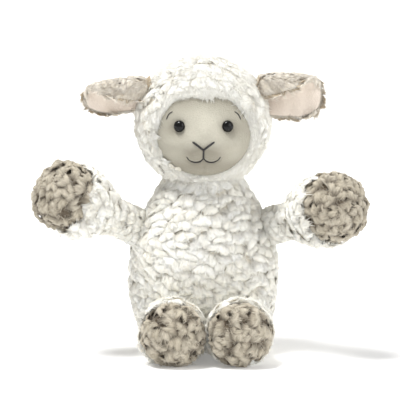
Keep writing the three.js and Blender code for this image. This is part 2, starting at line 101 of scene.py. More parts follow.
def unit(vectors: np.ndarray) -> np.ndarray:
    """Vectors brought to length one.

    Args:
        vectors: an array whose last axis is x, y, z.

    Returns:
        The array with each vector divided by its length.
    """
    length = np.linalg.norm(vectors, axis=-1, keepdims=True)
    return vectors / np.maximum(length, 1e-9)


def smoothstep(low: float, high: float, value: np.ndarray) -> np.ndarray:
    """The S-shaped step 3t^2 - 2t^3, where t runs from 0 at low to 1 at high."""
    share = np.clip((value - low) / (high - low), 0, 1)
    return share * share * (3 - 2 * share)


def bump(value: np.ndarray, width: float) -> np.ndarray:
    """The bell exp(-(value / width)^2)."""
    return np.exp(-((value / width) ** 2))


def spline(points: np.ndarray, steps: int) -> np.ndarray:
    """A smooth curve through points.

    Each span is the cubic that passes through its two ends, with slopes of half the chord
    between the points on either side.

    Args:
        points: control points, one a row.
        steps: how many equal steps the curve is cut into.

    Returns:
        steps + 1 points on the curve.
    """
    points = np.asarray(points, float)
    last = len(points) - 1
    place = np.linspace(0, last, steps + 1)
    index = np.minimum(place.astype(int), last - 1)
    t = (place - index)[:, None]
    before = points[np.maximum(index - 1, 0)]
    start, end = points[index], points[index + 1]
    after = points[np.minimum(index + 2, last)]
    slope_in, slope_out = (end - before) / 2, (after - start) / 2
    cubic = (2 * start - 2 * end + slope_in + slope_out) * t**3
    square = (-3 * start + 3 * end - 2 * slope_in - slope_out) * t**2
    return cubic + square + slope_in * t + start


def even(curve: np.ndarray, spacing: float) -> np.ndarray:
    """A curve resampled to points an equal distance apart.

    Args:
        curve: points along the curve.
        spacing: the wanted distance between points.

    Returns:
        Points on the curve, the first and last kept.
    """
    length = np.concatenate([[0], np.cumsum(np.linalg.norm(np.diff(curve, axis=0), axis=1))])
    count = max(int(round(length[-1] / spacing)), 2)
    at = np.linspace(0, length[-1], count + 1)
    return np.stack([np.interp(at, length, curve[:, k]) for k in range(curve.shape[1])], axis=1)


def waves(points: np.ndarray, size: float, seed: int) -> np.ndarray:
    """Smooth noise: a sum of sine waves in directions drawn from the seed, over its usual peak.

    Args:
        points: places, in millimetres.
        size: the length of a typical wave.
        seed: which noise.

    Returns:
        A value of about -1 to 1 at each place.
    """
    rng = np.random.default_rng(seed)
    total = np.zeros(points.shape[:-1])
    for _ in range(WAVE_COUNT):
        direction = unit(rng.normal(size=3)) * TAU / (size * rng.uniform(0.7, 1.5))
        total += np.sin(points @ direction + rng.uniform(0, TAU))
    return total / WAVE_PEAK


# Meshes


@dataclass
class Shell:
    """A surface on a grid of rows and columns, whose last column joins its first.

    Each end row is closed by a fan to a point in its middle, so the shell is one closed body.
    """

    points: np.ndarray

    def normals(self) -> np.ndarray:
        """Outward normals: the cross product of the steps along columns and along rows.

        It is turned round where the shell's faces wind the other way.

        Returns:
            A normal at each point of the grid.
        """
        down = np.gradient(self.points, axis=0)
        round_ = np.roll(self.points, -1, axis=1) - np.roll(self.points, 1, axis=1)
        normals = unit(np.cross(round_, down))
        return normals if self.volume() > 0 else -normals

    def volume(self) -> float:
        """The signed volume that the fans and the quads of the grid enclose.

        Returns:
            The volume, negative where the faces point inwards.
        """
        corners, quads, fans = self.topology()
        faces = np.concatenate([quads[:, [0, 1, 2]], quads[:, [0, 2, 3]], fans])
        a, b, c = (corners[faces[:, k]] for k in range(3))
        return float(np.sum(a * np.cross(b, c)) / 6)

    def topology(self) -> tuple[np.ndarray, np.ndarray, np.ndarray]:
        """The shell as corners, quads and the triangles of its two end fans.

        Returns:
            The corners, the quads and the triangles.
        """
        rows, columns, _ = self.points.shape
        corners = self.points.reshape(-1, 3)
        first, last = self.points[0].mean(axis=0), self.points[-1].mean(axis=0)
        corners = np.concatenate([corners, [first], [last]])
        index = np.arange(rows * columns).reshape(rows, columns)
        beside = np.roll(index, -1, axis=1)
        quads = np.stack([index[:-1], beside[:-1], beside[1:], index[1:]], axis=-1).reshape(-1, 4)
        start, end = rows * columns, rows * columns + 1
        opening = np.stack([beside[0], index[0], np.full(columns, start)], axis=-1)
        closing = np.stack([index[-1], beside[-1], np.full(columns, end)], axis=-1)
        return corners, quads, np.concatenate([opening, closing])

    def spread(self, values: np.ndarray) -> np.ndarray:
        """Values on the grid as one value a corner, with the two fan points added."""
        flat = values.reshape(-1, *values.shape[2:])
        return np.concatenate([flat, [values[0].mean(axis=0)], [values[-1].mean(axis=0)]])

    def cell_areas(self) -> np.ndarray:
        """The area of each cell of the grid, as the cross product of its two sides.

        Returns:
            An area for each cell.
        """
        down = self.points[1:] - self.points[:-1]
        round_ = (np.roll(self.points, -1, axis=1) - self.points)[:-1]
        return np.linalg.norm(np.cross(down, round_), axis=-1)


def make_object(
    name: str,
    corners: np.ndarray,
    faces: list[np.ndarray],
    attributes: dict[str, np.ndarray] | None = None,
    smooth: bool = True,
) -> bpy.types.Object:
    """A mesh object from arrays, its place in its mesh.

    Args:
        name: the object's name.
        corners: corner places in millimetres.
        faces: arrays of corner indices, one array for each count of corners.
        attributes: values for each corner, by attribute name.
        smooth: whether the faces are shaded smooth.

    Returns:
        The object, linked to the scene.
    """
    mesh = bpy.data.meshes.new(name)
    mesh.vertices.add(len(corners))
    mesh.vertices.foreach_set("co", (corners * MM).astype(np.float32).ravel())
    sizes = np.concatenate([np.full(len(f), f.shape[1]) for f in faces])
    loops = np.concatenate([f.ravel() for f in faces])
    mesh.loops.add(len(loops))
    mesh.loops.foreach_set("vertex_index", loops.astype(np.int32))
    mesh.polygons.add(len(sizes))
    starts = np.concatenate([[0], np.cumsum(sizes)[:-1]])
    mesh.polygons.foreach_set("loop_start", starts.astype(np.int32))
    mesh.polygons.foreach_set("use_smooth", np.full(len(sizes), smooth))
    for key, values in (attributes or {}).items():
        kind, slot = ("FLOAT_VECTOR", "vector") if values.ndim == 2 else ("FLOAT", "value")
        attribute = mesh.attributes.new(key, kind, "POINT")
        attribute.data.foreach_set(slot, values.astype(np.float32).ravel())
    mesh.update(calc_edges=True)
    mesh.validate()
    made = bpy.data.objects.new(name, mesh)
    bpy.context.scene.collection.objects.link(made)
    return made


def shell_object(
    name: str, shell: Shell, attributes: dict[str, np.ndarray] | None = None
) -> bpy.types.Object:
    """A mesh object of a shell, its faces turned outwards.

    Args:
        name: the object's name.
        shell: the surface.
        attributes: values on the shell's grid, by attribute name.

    Returns:
        The object.
    """
    corners, quads, fans = shell.topology()
    if shell.volume() < 0:
        quads, fans = quads[:, ::-1], fans[:, ::-1]
    spread = {key: shell.spread(values) for key, values in (attributes or {}).items()}
    return make_object(name, corners, [quads, fans], spread)


def thread_object(name: str, path: np.ndarray, radius: float, sides: int = 8) -> bpy.types.Object:
    """A round thread along a path, its ends drawn to a point.

    A ring of points is set square to the path at each step, of the thread's radius times
    the fourth root of one minus the eighth power of its place along the path.

    Args:
        name: the object's name.
        path: points along the thread.
        radius: the thread's radius.
        sides: how many points a ring has.

    Returns:
        The object.
    """
    along = unit(np.gradient(path, axis=0))
    side = unit(np.cross(along, np.array([0.0, -1.0, 0.2])))
    up = np.cross(side, along)
    place = np.linspace(-0.995, 0.995, len(path))
    grow = radius * (1 - place**8) ** 0.25
    turn = np.linspace(0, TAU, sides, endpoint=False)
    ring = (
        np.cos(turn)[None, :, None] * side[:, None] + np.sin(turn)[None, :, None] * up[:, None]
    )
    return shell_object(name, Shell(path[:, None] + ring * grow[:, None, None]))


# Materials


@dataclass(frozen=True)
class Finish:
    """What every finish has: its name, colour, roughness, and the record's slot if not its name."""

    name: str
    colour: tuple[float, float, float]
    roughness: float
    slot: str = ""

    def start(self) -> tuple[bpy.types.Material, bpy.types.Node, bpy.types.NodeTree]:
        """A new material with its shader node and tree.

        Returns:
            The material, its shader node and its tree.
        """
        material = bpy.data.materials.new(self.name)
        material.use_nodes = True
        tree = material.node_tree
        shader = tree.nodes["Principled BSDF"]
        shader.inputs["Base Color"].default_value = (*self.colour, 1)
        shader.inputs["Roughness"].default_value = self.roughness
        return material, shader, tree


def add_node(tree: bpy.types.NodeTree, kind: str, **settings: object) -> bpy.types.Node:
    """A new node with settings and input values.

    Args:
        tree: the material's node tree.
        kind: the node's type name.
        settings: properties of the node, or values of its inputs by their name.

    Returns:
        The node.
    """
    made = tree.nodes.new(kind)
    for key, value in settings.items():
        if hasattr(made, key):
            setattr(made, key, value)
        else:
            made.inputs[key.replace("_", " ").title()].default_value = value
    return made


def noise(tree: bpy.types.NodeTree, scale: float, detail: float) -> bpy.types.Node:
    """Noise in the object's own coordinates, with a scale in waves a metre.

    Args:
        tree: the material's node tree.
        scale: the scale.
        detail: how many finer layers it has.

    Returns:
        The noise's node.
    """
    place = add_node(tree, "ShaderNodeTexCoord")
    made = add_node(tree, "ShaderNodeTexNoise", scale=scale, detail=detail)
    tree.links.new(place.outputs["Object"], made.inputs["Vector"])
    return made


def mixed(
    tree: bpy.types.NodeTree, share: object, first: object, second: object, kind: str = "MIX"
) -> bpy.types.NodeSocket:
    """A mix of two colours.

    Args:
        tree: the material's node tree.
        share: a socket or number, how much of the second.
        first: a socket or colour.
        second: a socket or colour.
        kind: how they mix.

    Returns:
        The mixed colour's socket.
    """
    node = tree.nodes.new("ShaderNodeMix")
    node.data_type = "RGBA"
    node.blend_type = kind
    for socket, value in ((node.inputs[0], share), (node.inputs[6], first), (node.inputs[7], second)):
        if isinstance(value, bpy.types.NodeSocket):
            tree.links.new(value, socket)
        elif isinstance(value, tuple):
            socket.default_value = (*value, 1)
        else:
            socket.default_value = value
    return node.outputs[2]


@dataclass(frozen=True)
class PlushFinish(Finish):
    """Curly pile: a body colour, a darker one painted as shade down in the crevices, and a soft sheen."""

    crevice_shade: tuple[float, float, float] = (0.5, 0.45, 0.36)
    uneven: tuple[float, float, float] = (0.93, 0.92, 0.895)
    streak: float = 0.16
    streak_scale: float = 0.9
    sheen: float = 0.15
    softness: float = 0.5

    def make(self) -> bpy.types.Material:
        """The material: colour darkened to painted shade where the pile is deep, and streaks
        that run along its fibres.

        Returns:
            The material.
        """
        material, shader, tree = self.start()
        depth, tint, nap = (
            add_node(tree, "ShaderNodeAttribute", attribute_name=name) for name in ("depth", "tint", "nap")
        )
        streaks = add_node(tree, "ShaderNodeTexNoise", scale=self.streak_scale, detail=3)
        tree.links.new(nap.outputs["Vector"], streaks.inputs["Vector"])
        shaded = tuple(c * (1 - self.streak) for c in self.colour)
        colour = mixed(tree, streaks.outputs["Fac"], self.colour, shaded)
        # Painted shade: towards the crevice colour where the depth attribute says the pile lies deep
        colour = mixed(tree, depth.outputs["Fac"], colour, self.crevice_shade)
        uneven = mixed(tree, tint.outputs["Fac"], (1.0, 1.0, 1.0), self.uneven)
        colour = mixed(tree, 1.0, colour, uneven, "MULTIPLY")
        tree.links.new(colour, shader.inputs["Base Color"])
        shader.inputs["Subsurface Weight"].default_value = self.softness
        shader.inputs["Subsurface Radius"].default_value = (1.0, 0.92, 0.8)
        shader.inputs["Subsurface Scale"].default_value = 0.003
        shader.inputs["Sheen Weight"].default_value = self.sheen
        shader.inputs["Sheen Roughness"].default_value = 0.5
        shader.inputs["Specular IOR Level"].default_value = 0.1
        relief = add_node(tree, "ShaderNodeBump", strength=0.6, distance=0.0005)
        tree.links.new(streaks.outputs["Fac"], relief.inputs["Height"])
        tree.links.new(relief.outputs["Normal"], shader.inputs["Normal"])
        return material


@dataclass(frozen=True)
class VelourFinish(Finish):
    """Short velour: mottled colour, sheen towards the edge, and a fine nap."""

    mottle_and_shade: tuple[float, float, float] = (0.5, 0.47, 0.4)
    broad_scale: float = 75
    broad_share: float = 0.45
    small_scale: float = 700
    small_share: float = 0.4
    nap_scale: float = 900
    sheen: float = 0.35

    def make(self) -> bpy.types.Material:
        """The material: two sizes of mottling, painted shade from the mesh, and a fine relief.

        Returns:
            The material.
        """
        material, shader, tree = self.start()
        broad = noise(tree, self.broad_scale, 5)
        small = noise(tree, self.small_scale, 3)
        shade = add_node(tree, "ShaderNodeAttribute", attribute_name="depth").outputs["Fac"]
        blotch = mixed(tree, self.broad_share, self.colour, self.mottle_and_shade)
        colour = mixed(tree, broad.outputs["Fac"], self.colour, blotch)
        speck = mixed(tree, self.small_share, colour, self.mottle_and_shade)
        colour = mixed(tree, small.outputs["Fac"], colour, speck)
        # Painted shade: towards the mottle colour where the mesh's depth attribute says so
        colour = mixed(tree, shade, colour, self.mottle_and_shade)
        tree.links.new(colour, shader.inputs["Base Color"])
        shader.inputs["Sheen Weight"].default_value = self.sheen
        shader.inputs["Sheen Roughness"].default_value = 0.4
        shader.inputs["Specular IOR Level"].default_value = 0.15
        nap = noise(tree, self.nap_scale, 6)
        relief = add_node(tree, "ShaderNodeBump", strength=0.9, distance=0.0008)
        tree.links.new(nap.outputs["Fac"], relief.inputs["Height"])
        tree.links.new(relief.outputs["Normal"], shader.inputs["Normal"])
        return material


@dataclass(frozen=True)
class GlossFinish(Finish):
    """Polished moulded plastic with a faint unevenness in its gloss."""

    def make(self) -> bpy.types.Material:
        """The material: a clear coat over a dark body, its roughness a little uneven.

        Returns:
            The material.
        """
        material, shader, tree = self.start()
        shader.inputs["Coat Weight"].default_value = 0.12
        shader.inputs["Coat Roughness"].default_value = 0.03
        shader.inputs["Specular IOR Level"].default_value = 0.15
        uneven = noise(tree, 300, 3)
        span = add_node(tree, "ShaderNodeMapRange")
        span.inputs["To Min"].default_value = self.roughness * 0.6
        span.inputs["To Max"].default_value = self.roughness * 1.5
        tree.links.new(uneven.outputs["Fac"], span.inputs["Value"])
        tree.links.new(span.outputs["Result"], shader.inputs["Roughness"])
        return material


@dataclass(frozen=True)
class ClothFinish(Finish):
    """Thread, woven cloth, loose fibre or dull plastic: one colour with grain of a size."""

    grain: float = 2500
    relief: float = 0.4

    def make(self) -> bpy.types.Material:
        """The material: colour and relief from one noise of the grain's size.

        Returns:
            The material.
        """
        material, shader, tree = self.start()
        grain = noise(tree, self.grain, 4)
        darker = tuple(c * 0.75 for c in self.colour)
        colour = mixed(tree, grain.outputs["Fac"], self.colour, darker)
        tree.links.new(colour, shader.inputs["Base Color"])
        shader.inputs["Sheen Weight"].default_value = 0.03
        relief = add_node(tree, "ShaderNodeBump", strength=self.relief, distance=0.0004)
        tree.links.new(grain.outputs["Fac"], relief.inputs["Height"])
        tree.links.new(relief.outputs["Normal"], shader.inputs["Normal"])
        return material


class Wardrobe:
    """The finishes of this toy, each made once."""

    # A plush's crevice colour is painted shade down in its pile, and a velour's mottle colour is both its
    # mottling and its painted shade
    WHITE = PlushFinish("white_plush", (0.94, 0.925, 0.86), 0.95, crevice_shade=(0.75, 0.69, 0.57))
    BEIGE = PlushFinish(
        "beige_plush", (0.69, 0.625, 0.505), 0.95, crevice_shade=(0.075, 0.055, 0.036), streak=0.6,
        softness=0.1,
    )
    EAR_PLUSH = PlushFinish(
        "ear_plush", (0.88, 0.81, 0.7), 0.95, "beige_plush", crevice_shade=(0.42, 0.35, 0.26), streak=0.35
    )
    FACE = VelourFinish("face_velour", (0.595, 0.57, 0.48), 0.9, mottle_and_shade=(0.27, 0.25, 0.2))
    EAR = VelourFinish("ear_velour", (0.8, 0.72, 0.63), 0.9, mottle_and_shade=(0.6, 0.51, 0.44))
    EYE = GlossFinish("gloss_black", (0.006, 0.006, 0.006), 0.08)
    THREAD = ClothFinish("black_thread", (0.012, 0.011, 0.011), 0.6)
    FIBRE = ClothFinish("fibre_filling", (0.88, 0.88, 0.86), 0.9, grain=700)
    PELLETS = ClothFinish("pellet_cloth", (0.7, 0.67, 0.6), 0.9, grain=1200)
    PLASTIC = ClothFinish("washer_plastic", (0.8, 0.8, 0.78), 0.45, grain=400, relief=0.1)

    def __init__(self) -> None:
        """Makes every finish's material."""
        finishes = (
            self.WHITE, self.BEIGE, self.EAR_PLUSH, self.FACE, self.EAR,
            self.EYE, self.THREAD, self.FIBRE, self.PELLETS, self.PLASTIC,
        )
        self.made = {finish.name: finish.make() for finish in finishes}

    def dress(self, piece: bpy.types.Object, finish: Finish) -> None:
        """Gives a piece its finish and reports it.

        Args:
            piece: the piece.
            finish: what it wears.
        """
        piece.data.materials.clear()
        piece.data.materials.append(self.made[finish.name])
        LOG.info("%s: %s, %d faces", piece.name, finish.name, len(piece.data.polygons))


# Pile


@dataclass(frozen=True)
class Pile:
    """Curly pile: overlapping flaps of fibre on a backing, and loose fibres on the flaps.

    A flap is a soft pad. Its root is sunk in the backing and its tip stands up, so that it lies
    over the roots of the flaps next to it. The row squeeze is how many times closer the flaps
    lie up and down than sideways. The root shade is where the painted shade on a flap's root,
    under the flap over it, ends, from -1 at the root to 1 at the tip.
    """

    spacing: float = 8.4
    row_squeeze: float = 1.0
    length: float = 8.8
    width: float = 9.4
    thickness: float = 3.6
    root_sink: float = 3.2
    tip_rise: float = 1.4
    tip_curl: float = 1.4
    turn_deg: float = 26
    tilt_deg: float = 7
    ragged_share: float = 0.16
    flute: float = 0.45
    backing_sink: float = 1.6
    root_shade: float = 0.0
    fibres: int = 80
    fibre_length: float = 4.6
    fibre_width: float = 0.9
    fibre_lift: float = 1.1
    wisp_share: float = 0.11
    wisp_length: float = 6.0
    wisp_lift: float = 3.0


BEIGE_PILE = Pile(
    spacing=8.8, length=9.0, width=8.0, thickness=3.4, root_sink=5.2, tip_rise=-0.2, turn_deg=80,
    ragged_share=0.28, flute=0.85, backing_sink=3.4, root_shade=0.35, fibres=75, fibre_length=3.4,
    fibre_width=0.65, fibre_lift=0.9, wisp_share=0.05,
)


def scatter(shell: Shell, count: int, rng: np.random.Generator) -> tuple[np.ndarray, ...]:
    """Random places on a shell, drawn by area: a cell of the grid, and a place within it.

    Args:
        shell: the surface.
        count: how many places.
        rng: the source of random numbers.

    Returns:
        Rows, columns, and the two shares across the cell.
    """
    chance = np.cumsum(shell.cell_areas().ravel())
    cell = np.searchsorted(chance, rng.uniform(0, chance[-1], count))
    cell = np.minimum(cell, len(chance) - 1)
    row, column = np.divmod(cell, shell.points.shape[1])
    return row, column, rng.uniform(0, 1, count), rng.uniform(0, 1, count)


def sample(values: np.ndarray, draws: tuple[np.ndarray, ...]) -> np.ndarray:
    """Values of a grid at places within its cells, blended from the cell's four corners.

    Args:
        values: values on the grid.
        draws: rows, columns and shares, as from scatter.

    Returns:
        A value at each place.
    """
    row, column, s, t = draws
    beside = (column + 1) % values.shape[1]
    if values.ndim == 3:
        s, t = s[:, None], t[:, None]
    top = values[row, column] * (1 - t) + values[row, beside] * t
    low = values[row + 1, column] * (1 - t) + values[row + 1, beside] * t
    return top * (1 - s) + low * s


def spaced(places: np.ndarray, spacing: float) -> np.ndarray:
    """Which places to keep, in their order, so that no two kept ones lie nearer than a spacing.

    Args:
        places: the places, one a row.
        spacing: the least distance.

    Returns:
        The rows of the kept places.
    """
    kept: list[int] = []
    for i, place in enumerate(places):
        if not kept or np.min(np.sum((places[kept] - place) ** 2, axis=1)) >= spacing**2:
            kept.append(i)
    return np.array(kept)


@dataclass
class Flaps:
    """The flaps of one surface, one row a flap: their places, frames, bend and looks.

    The constants say how many places are tried and how weak a pile is left out, how far a flap
    looks for its bend, what steadies that and how far it may bend, how flaps differ in size, the
    form of a flap's edge and dome, where it climbs and where its tip curls, its flutes, the rings
    of its pad and which side they lie on, how far the painted shade of its root fades, the grain
    that its streaks follow, and its fibres.
    """

    TRIES = 9000
    LEAST_STRENGTH = 0.08
    SAME_SIDE_COSINE = 0.3
    BEND_REACH = 0.8
    BEND_STEADY = 1e-3
    MOST_BEND = 0.06
    SIZES = (0.82, 1.2)
    EDGE_POWER = 2.6
    EDGE_WAVES = (4, 7)
    ROOT_NARROWER = 0.16
    DOME_POWER = 2.5
    CLIMB_ZONE = (-1.0, 0.7)
    CURL_START = 0.45
    CURL_FULL = 0.3
    FLUTE_ZONE = (-0.4, 0.6)
    FLUTE_WAVES = (7.5, 16)
    PAD_COLUMNS = 20
    PAD_REACH = (0.18, 0.42, 0.64, 0.82, 0.94, 1.0, 0.93, 0.6, 0.2)
    PAD_SIDE = (1, 1, 1, 1, 1, 1, -0.5, -0.5, -0.5)
    ROOT_SHADE_FADE = 0.8
    GRAIN_SLOW = 0.13
    GRAIN_APART = 11.0
    GRAIN_COUNT = 97
    FIBRE_ZONE = 1.55
    FIBRE_EDGE = 0.98
    FIBRE_LENGTHS = (0.7, 1.3)
    FIBRE_LIFTS = (0.2, 1.6)
    FIBRE_WIDTHS = (0.75, 1.25)
    FAN = 0.45
    FAN_SPREAD = 0.22

    pile: Pile
    centre: np.ndarray
    along: np.ndarray
    across: np.ndarray
    normal: np.ndarray
    bend: np.ndarray
    size: np.ndarray
    phase: np.ndarray
    tilt: np.ndarray
    strength: np.ndarray

    @classmethod
    def sown(
        cls,
        shell: Shell,
        guide: np.ndarray,
        pile: Pile,
        rng: np.random.Generator,
        strength: np.ndarray,
    ) -> Flaps:
        """Flaps spread over a shell, no two centres nearer than the pile's spacing.

        Places are drawn at random by area, and one is kept if it lies far enough from those
        kept before. Each flap points along the guide, turned by a random angle. Its bend is
        that of the shell around it: the three shares of s^2, st and t^2 that come nearest, by
        least squares, to the heights of the shell's points over the plane that touches it.

        Args:
            shell: the smooth surface.
            guide: the direction that the pile lies in, on the shell's grid.
            pile: the pile's sizes.
            rng: the source of random numbers.
            strength: how thick the pile is, as a share, on the shell's grid.

        Returns:
            The flaps.
        """
        draws = scatter(shell, cls.TRIES, rng)
        draws = tuple(d[sample(strength, draws) > cls.LEAST_STRENGTH] for d in draws)
        kept = spaced(sample(shell.points, draws) * (1, 1, pile.row_squeeze), pile.spacing)
        draws = tuple(d[kept] for d in draws)
        count = len(kept)
        centre = sample(shell.points, draws)
        normals = shell.normals()
        normal = unit(sample(normals, draws))
        flow = sample(guide, draws)
        along = unit(flow - normal * np.sum(flow * normal, axis=1, keepdims=True))
        across = np.cross(normal, along)
        turn = np.radians(rng.normal(0, pile.turn_deg, count))[:, None]
        along, across = (
            along * np.cos(turn) + across * np.sin(turn),
            across * np.cos(turn) - along * np.sin(turn),
        )
        around = shell.points[::2, ::2].reshape(-1, 3)
        facing = normals[::2, ::2].reshape(-1, 3)
        gap = around[None] - centre[:, None]
        near = np.exp(-np.sum(gap**2, axis=-1) / (cls.BEND_REACH * pile.length) ** 2)
        near *= normal @ facing.T > cls.SAME_SIDE_COSINE
        s = np.einsum("ijk,ik->ij", gap, along)
        t = np.einsum("ijk,ik->ij", gap, across)
        h = np.einsum("ijk,ik->ij", gap, normal)
        terms = np.stack([s * s, s * t, t * t], axis=1)
        left = np.einsum("iaj,ij,ibj->iab", terms, near, terms) + cls.BEND_STEADY * np.eye(3)
        bend = np.linalg.solve(left, np.einsum("iaj,ij,ij->ia", terms, near, h)[..., None])[..., 0]
        return cls(
            pile,
            centre,
            along,
            across,
            normal,
            np.clip(bend, -cls.MOST_BEND, cls.MOST_BEND),
            rng.uniform(*cls.SIZES, (count, 3)),
            rng.uniform(0, TAU, (count, 3)),
            np.tan(np.radians(rng.normal(0, pile.tilt_deg, (count, 2)))),
            sample(strength, draws),
        )

    def place(self, which: np.ndarray, a: np.ndarray, b: np.ndarray, top: np.ndarray) -> np.ndarray:
        """Points of flaps.

        In the unit disc, a runs from -1 at the root to 1 at the tip and b from side to side.
        The disc is stretched to a superellipse of power 2.6 whose edge waves a little, and made
        narrower at the root. Over it a pad stands half its thickness times 1 - r^2.5 to a
        power: a half at the tip, where it ends bluntly, and one at the root. The pad's middle
        climbs from root to tip, curls down at the very tip, and has flutes that run along it.
        The whole is laid on the bent surface.

        Args:
            which: the flaps' rows.
            a: places along them.
            b: places across them.
            top: 1 for the upper side, down to -1 for the underside.

        Returns:
            The points.
        """
        pile = self.pile
        turn = np.arctan2(b, a)
        reach = np.sqrt(a * a + b * b)
        power = self.EDGE_POWER
        grow = (np.abs(np.cos(turn)) ** power + np.abs(np.sin(turn)) ** power) ** (-1 / power)
        phase = self.phase[which]
        broad, narrow = self.EDGE_WAVES
        grow *= 1 + pile.ragged_share * (
            np.sin(broad * turn + phase[..., 0]) + 0.7 * np.sin(narrow * turn + phase[..., 1])
        )
        x, y = a * grow, b * grow
        size, strength = self.size[which], self.strength[which]
        dome = np.clip(1 - reach**self.DOME_POWER, 0, 1) ** (0.75 - 0.25 * np.cos(turn))
        climb = smoothstep(*self.CLIMB_ZONE, x)
        level = pile.tip_rise * climb - pile.root_sink * (1 - climb)
        level -= pile.tip_curl * np.clip(x - self.CURL_START, 0, 1) ** 2 / self.CURL_FULL
        broad, narrow = self.FLUTE_WAVES
        flutes = np.sin(broad * y + phase[..., 2]) + 0.5 * np.sin(narrow * y + phase[..., 0])
        level += pile.flute * flutes * dome * smoothstep(*self.FLUTE_ZONE, x)
        level += top * dome * pile.thickness * size[..., 2] / 2
        s = x * pile.length * size[..., 0]
        t = y * pile.width * size[..., 1] * (1 - self.ROOT_NARROWER + self.ROOT_NARROWER * x)
        tilt = self.tilt[which]
        bend = self.bend[which]
        bent = bend[..., 0] * s * s + bend[..., 1] * s * t + bend[..., 2] * t * t
        up = level * strength + bent + 0.5 * (tilt[..., 0] * s + tilt[..., 1] * t) * strength
        return (
            self.centre[which]
            + s[..., None] * self.along[which]
            + t[..., None] * self.across[which]
            + up[..., None] * self.normal[which]
        )

    def nap(self, which: np.ndarray, a: np.ndarray, b: np.ndarray) -> np.ndarray:
        """Places in a flap's own grain: slow along it, quick across, and apart for each flap.

        Args:
            which: the flaps' rows.
            a: places along them.
            b: places across them.

        Returns:
            The places in the grain.
        """
        slow = a * self.pile.length * self.GRAIN_SLOW
        apart = self.GRAIN_APART * (which % self.GRAIN_COUNT) + 0 * a
        return np.stack([slow, b * self.pile.width, apart], axis=-1)

    def pads(self, name: str, floor: float | None) -> bpy.types.Object:
        """The flaps as closed pads: rings from the top's middle over the edge to the underside.

        Args:
            name: the object's name.
            floor: the lowest height that a flap may reach, if any.

        Returns:
            The object.
        """
        reach = np.array(self.PAD_REACH)[:, None]
        top = np.array(self.PAD_SIDE)[:, None]
        turn = np.linspace(0, TAU, self.PAD_COLUMNS, endpoint=False)[None]
        which = np.arange(len(self.centre))[:, None, None]
        a = (reach * np.cos(turn))[None] + 0 * which
        b = (reach * np.sin(turn))[None] + 0 * which
        points = self.place(which, a, b, top[None])
        if floor is not None:
            points[..., 2] = np.maximum(points[..., 2], floor)
        under = (top < 0)[None]
        shade = self.pile.root_shade
        # Painted shade: darker at a flap's root, under the flap over it, on its underside, and towards its
        # edge
        depth = 0.9 * smoothstep(shade, shade - self.ROOT_SHADE_FADE, a) + 0.9 * under
        depth += (0.35 + shade) * smoothstep(0.7, 1.0, reach)
        tint = np.sin(self.phase[:, 0]) * 0.5 + 0.5
        return bodies_object(
            name,
            points,
            {
                "depth": np.clip(depth, 0, 1),
                "tint": tint[:, None, None] + 0 * a,
                "nap": self.nap(which, a, b),
            },
        )

    def strands(self, name: str, rng: np.random.Generator, floor: float | None) -> bpy.types.Object:
        """Short tapered fibres laid along the flaps, with a few longer wisps that stand up.

        A fibre starts on the flap's upper side and ends further along it, a little fanned out
        and lifted. Fibres near the tip overhang it.

        Args:
            name: the object's name.
            rng: the source of random numbers.
            floor: the lowest height that a fibre may reach, if any.

        Returns:
            The object.
        """
        pile = self.pile
        count = len(self.centre) * pile.fibres
        which = np.repeat(np.arange(len(self.centre)), pile.fibres)
        a = 1 - self.FIBRE_ZONE * rng.uniform(0, 1, count) ** 0.8
        b = rng.uniform(-1, 1, count) * np.sqrt(np.clip(1 - a * a, 0, 1)) * self.FIBRE_EDGE
        wisp = rng.uniform(0, 1, count) < pile.wisp_share
        length = np.where(wisp, pile.wisp_length, pile.fibre_length)
        length = length * rng.uniform(*self.FIBRE_LENGTHS, count)
        fan = self.FAN * b + rng.normal(0, self.FAN_SPREAD, count)
        tip_a = a + length * np.cos(fan) / pile.length
        tip_b = b + length * np.sin(fan) / pile.width
        one = np.ones(count)
        root = self.place(which, a, b, one)
        tip = self.place(which, tip_a, tip_b, one)
        lift = np.where(wisp, pile.wisp_lift, pile.fibre_lift) * rng.uniform(*self.FIBRE_LIFTS, count)
        tip += self.normal[which] * lift[:, None]
        width = pile.fibre_width * rng.uniform(*self.FIBRE_WIDTHS, count)
        # Painted shade: darker towards the flap's root
        depth = 0.8 * smoothstep(pile.root_shade, pile.root_shade - self.ROOT_SHADE_FADE, a)
        tint = np.clip(np.sin(self.phase[which, 0]) * 0.5 + 0.5 + rng.normal(0, 0.3, count), 0, 1)
        nap = self.nap(which, a, b) + rng.uniform(0, 4, (count, 3))
        return strands_object(name, root, tip, self.normal[which], width, depth, tint, nap, floor)


def bodies_object(
    name: str, points: np.ndarray, attributes: dict[str, np.ndarray]
) -> bpy.types.Object:
    """Many closed bodies of the same grid as one mesh object.

    Args:
        name: the object's name.
        points: the bodies' grids: body, row, column, place.
        attributes: values on the same grids, by attribute name.

    Returns:
        The object.
    """
    count = len(points)
    first = Shell(points[0])
    corners, quads, fans = first.topology()
    if first.volume() < 0:
        quads, fans = quads[:, ::-1], fans[:, ::-1]

    def spread(values: np.ndarray) -> np.ndarray:
        """Grid values as one value a corner, body after body, each with its two fan points.

        Args:
            values: values on the bodies' grids.

        Returns:
            A value for each corner.
        """
        rest = values.shape[3:]
        flat = values.reshape(count, -1, *rest)
        ends = [values[:, k].mean(axis=1)[:, None] for k in (0, -1)]
        return np.concatenate([flat, *ends], axis=1).reshape(-1, *rest)

    shift = len(corners) * np.arange(count)[:, None, None]
    faces = [(group[None] + shift).reshape(-1, group.shape[1]) for group in (quads, fans)]
    spread_values = {key: spread(values) for key, values in attributes.items()}
    return make_object(name, spread(points), faces, spread_values)


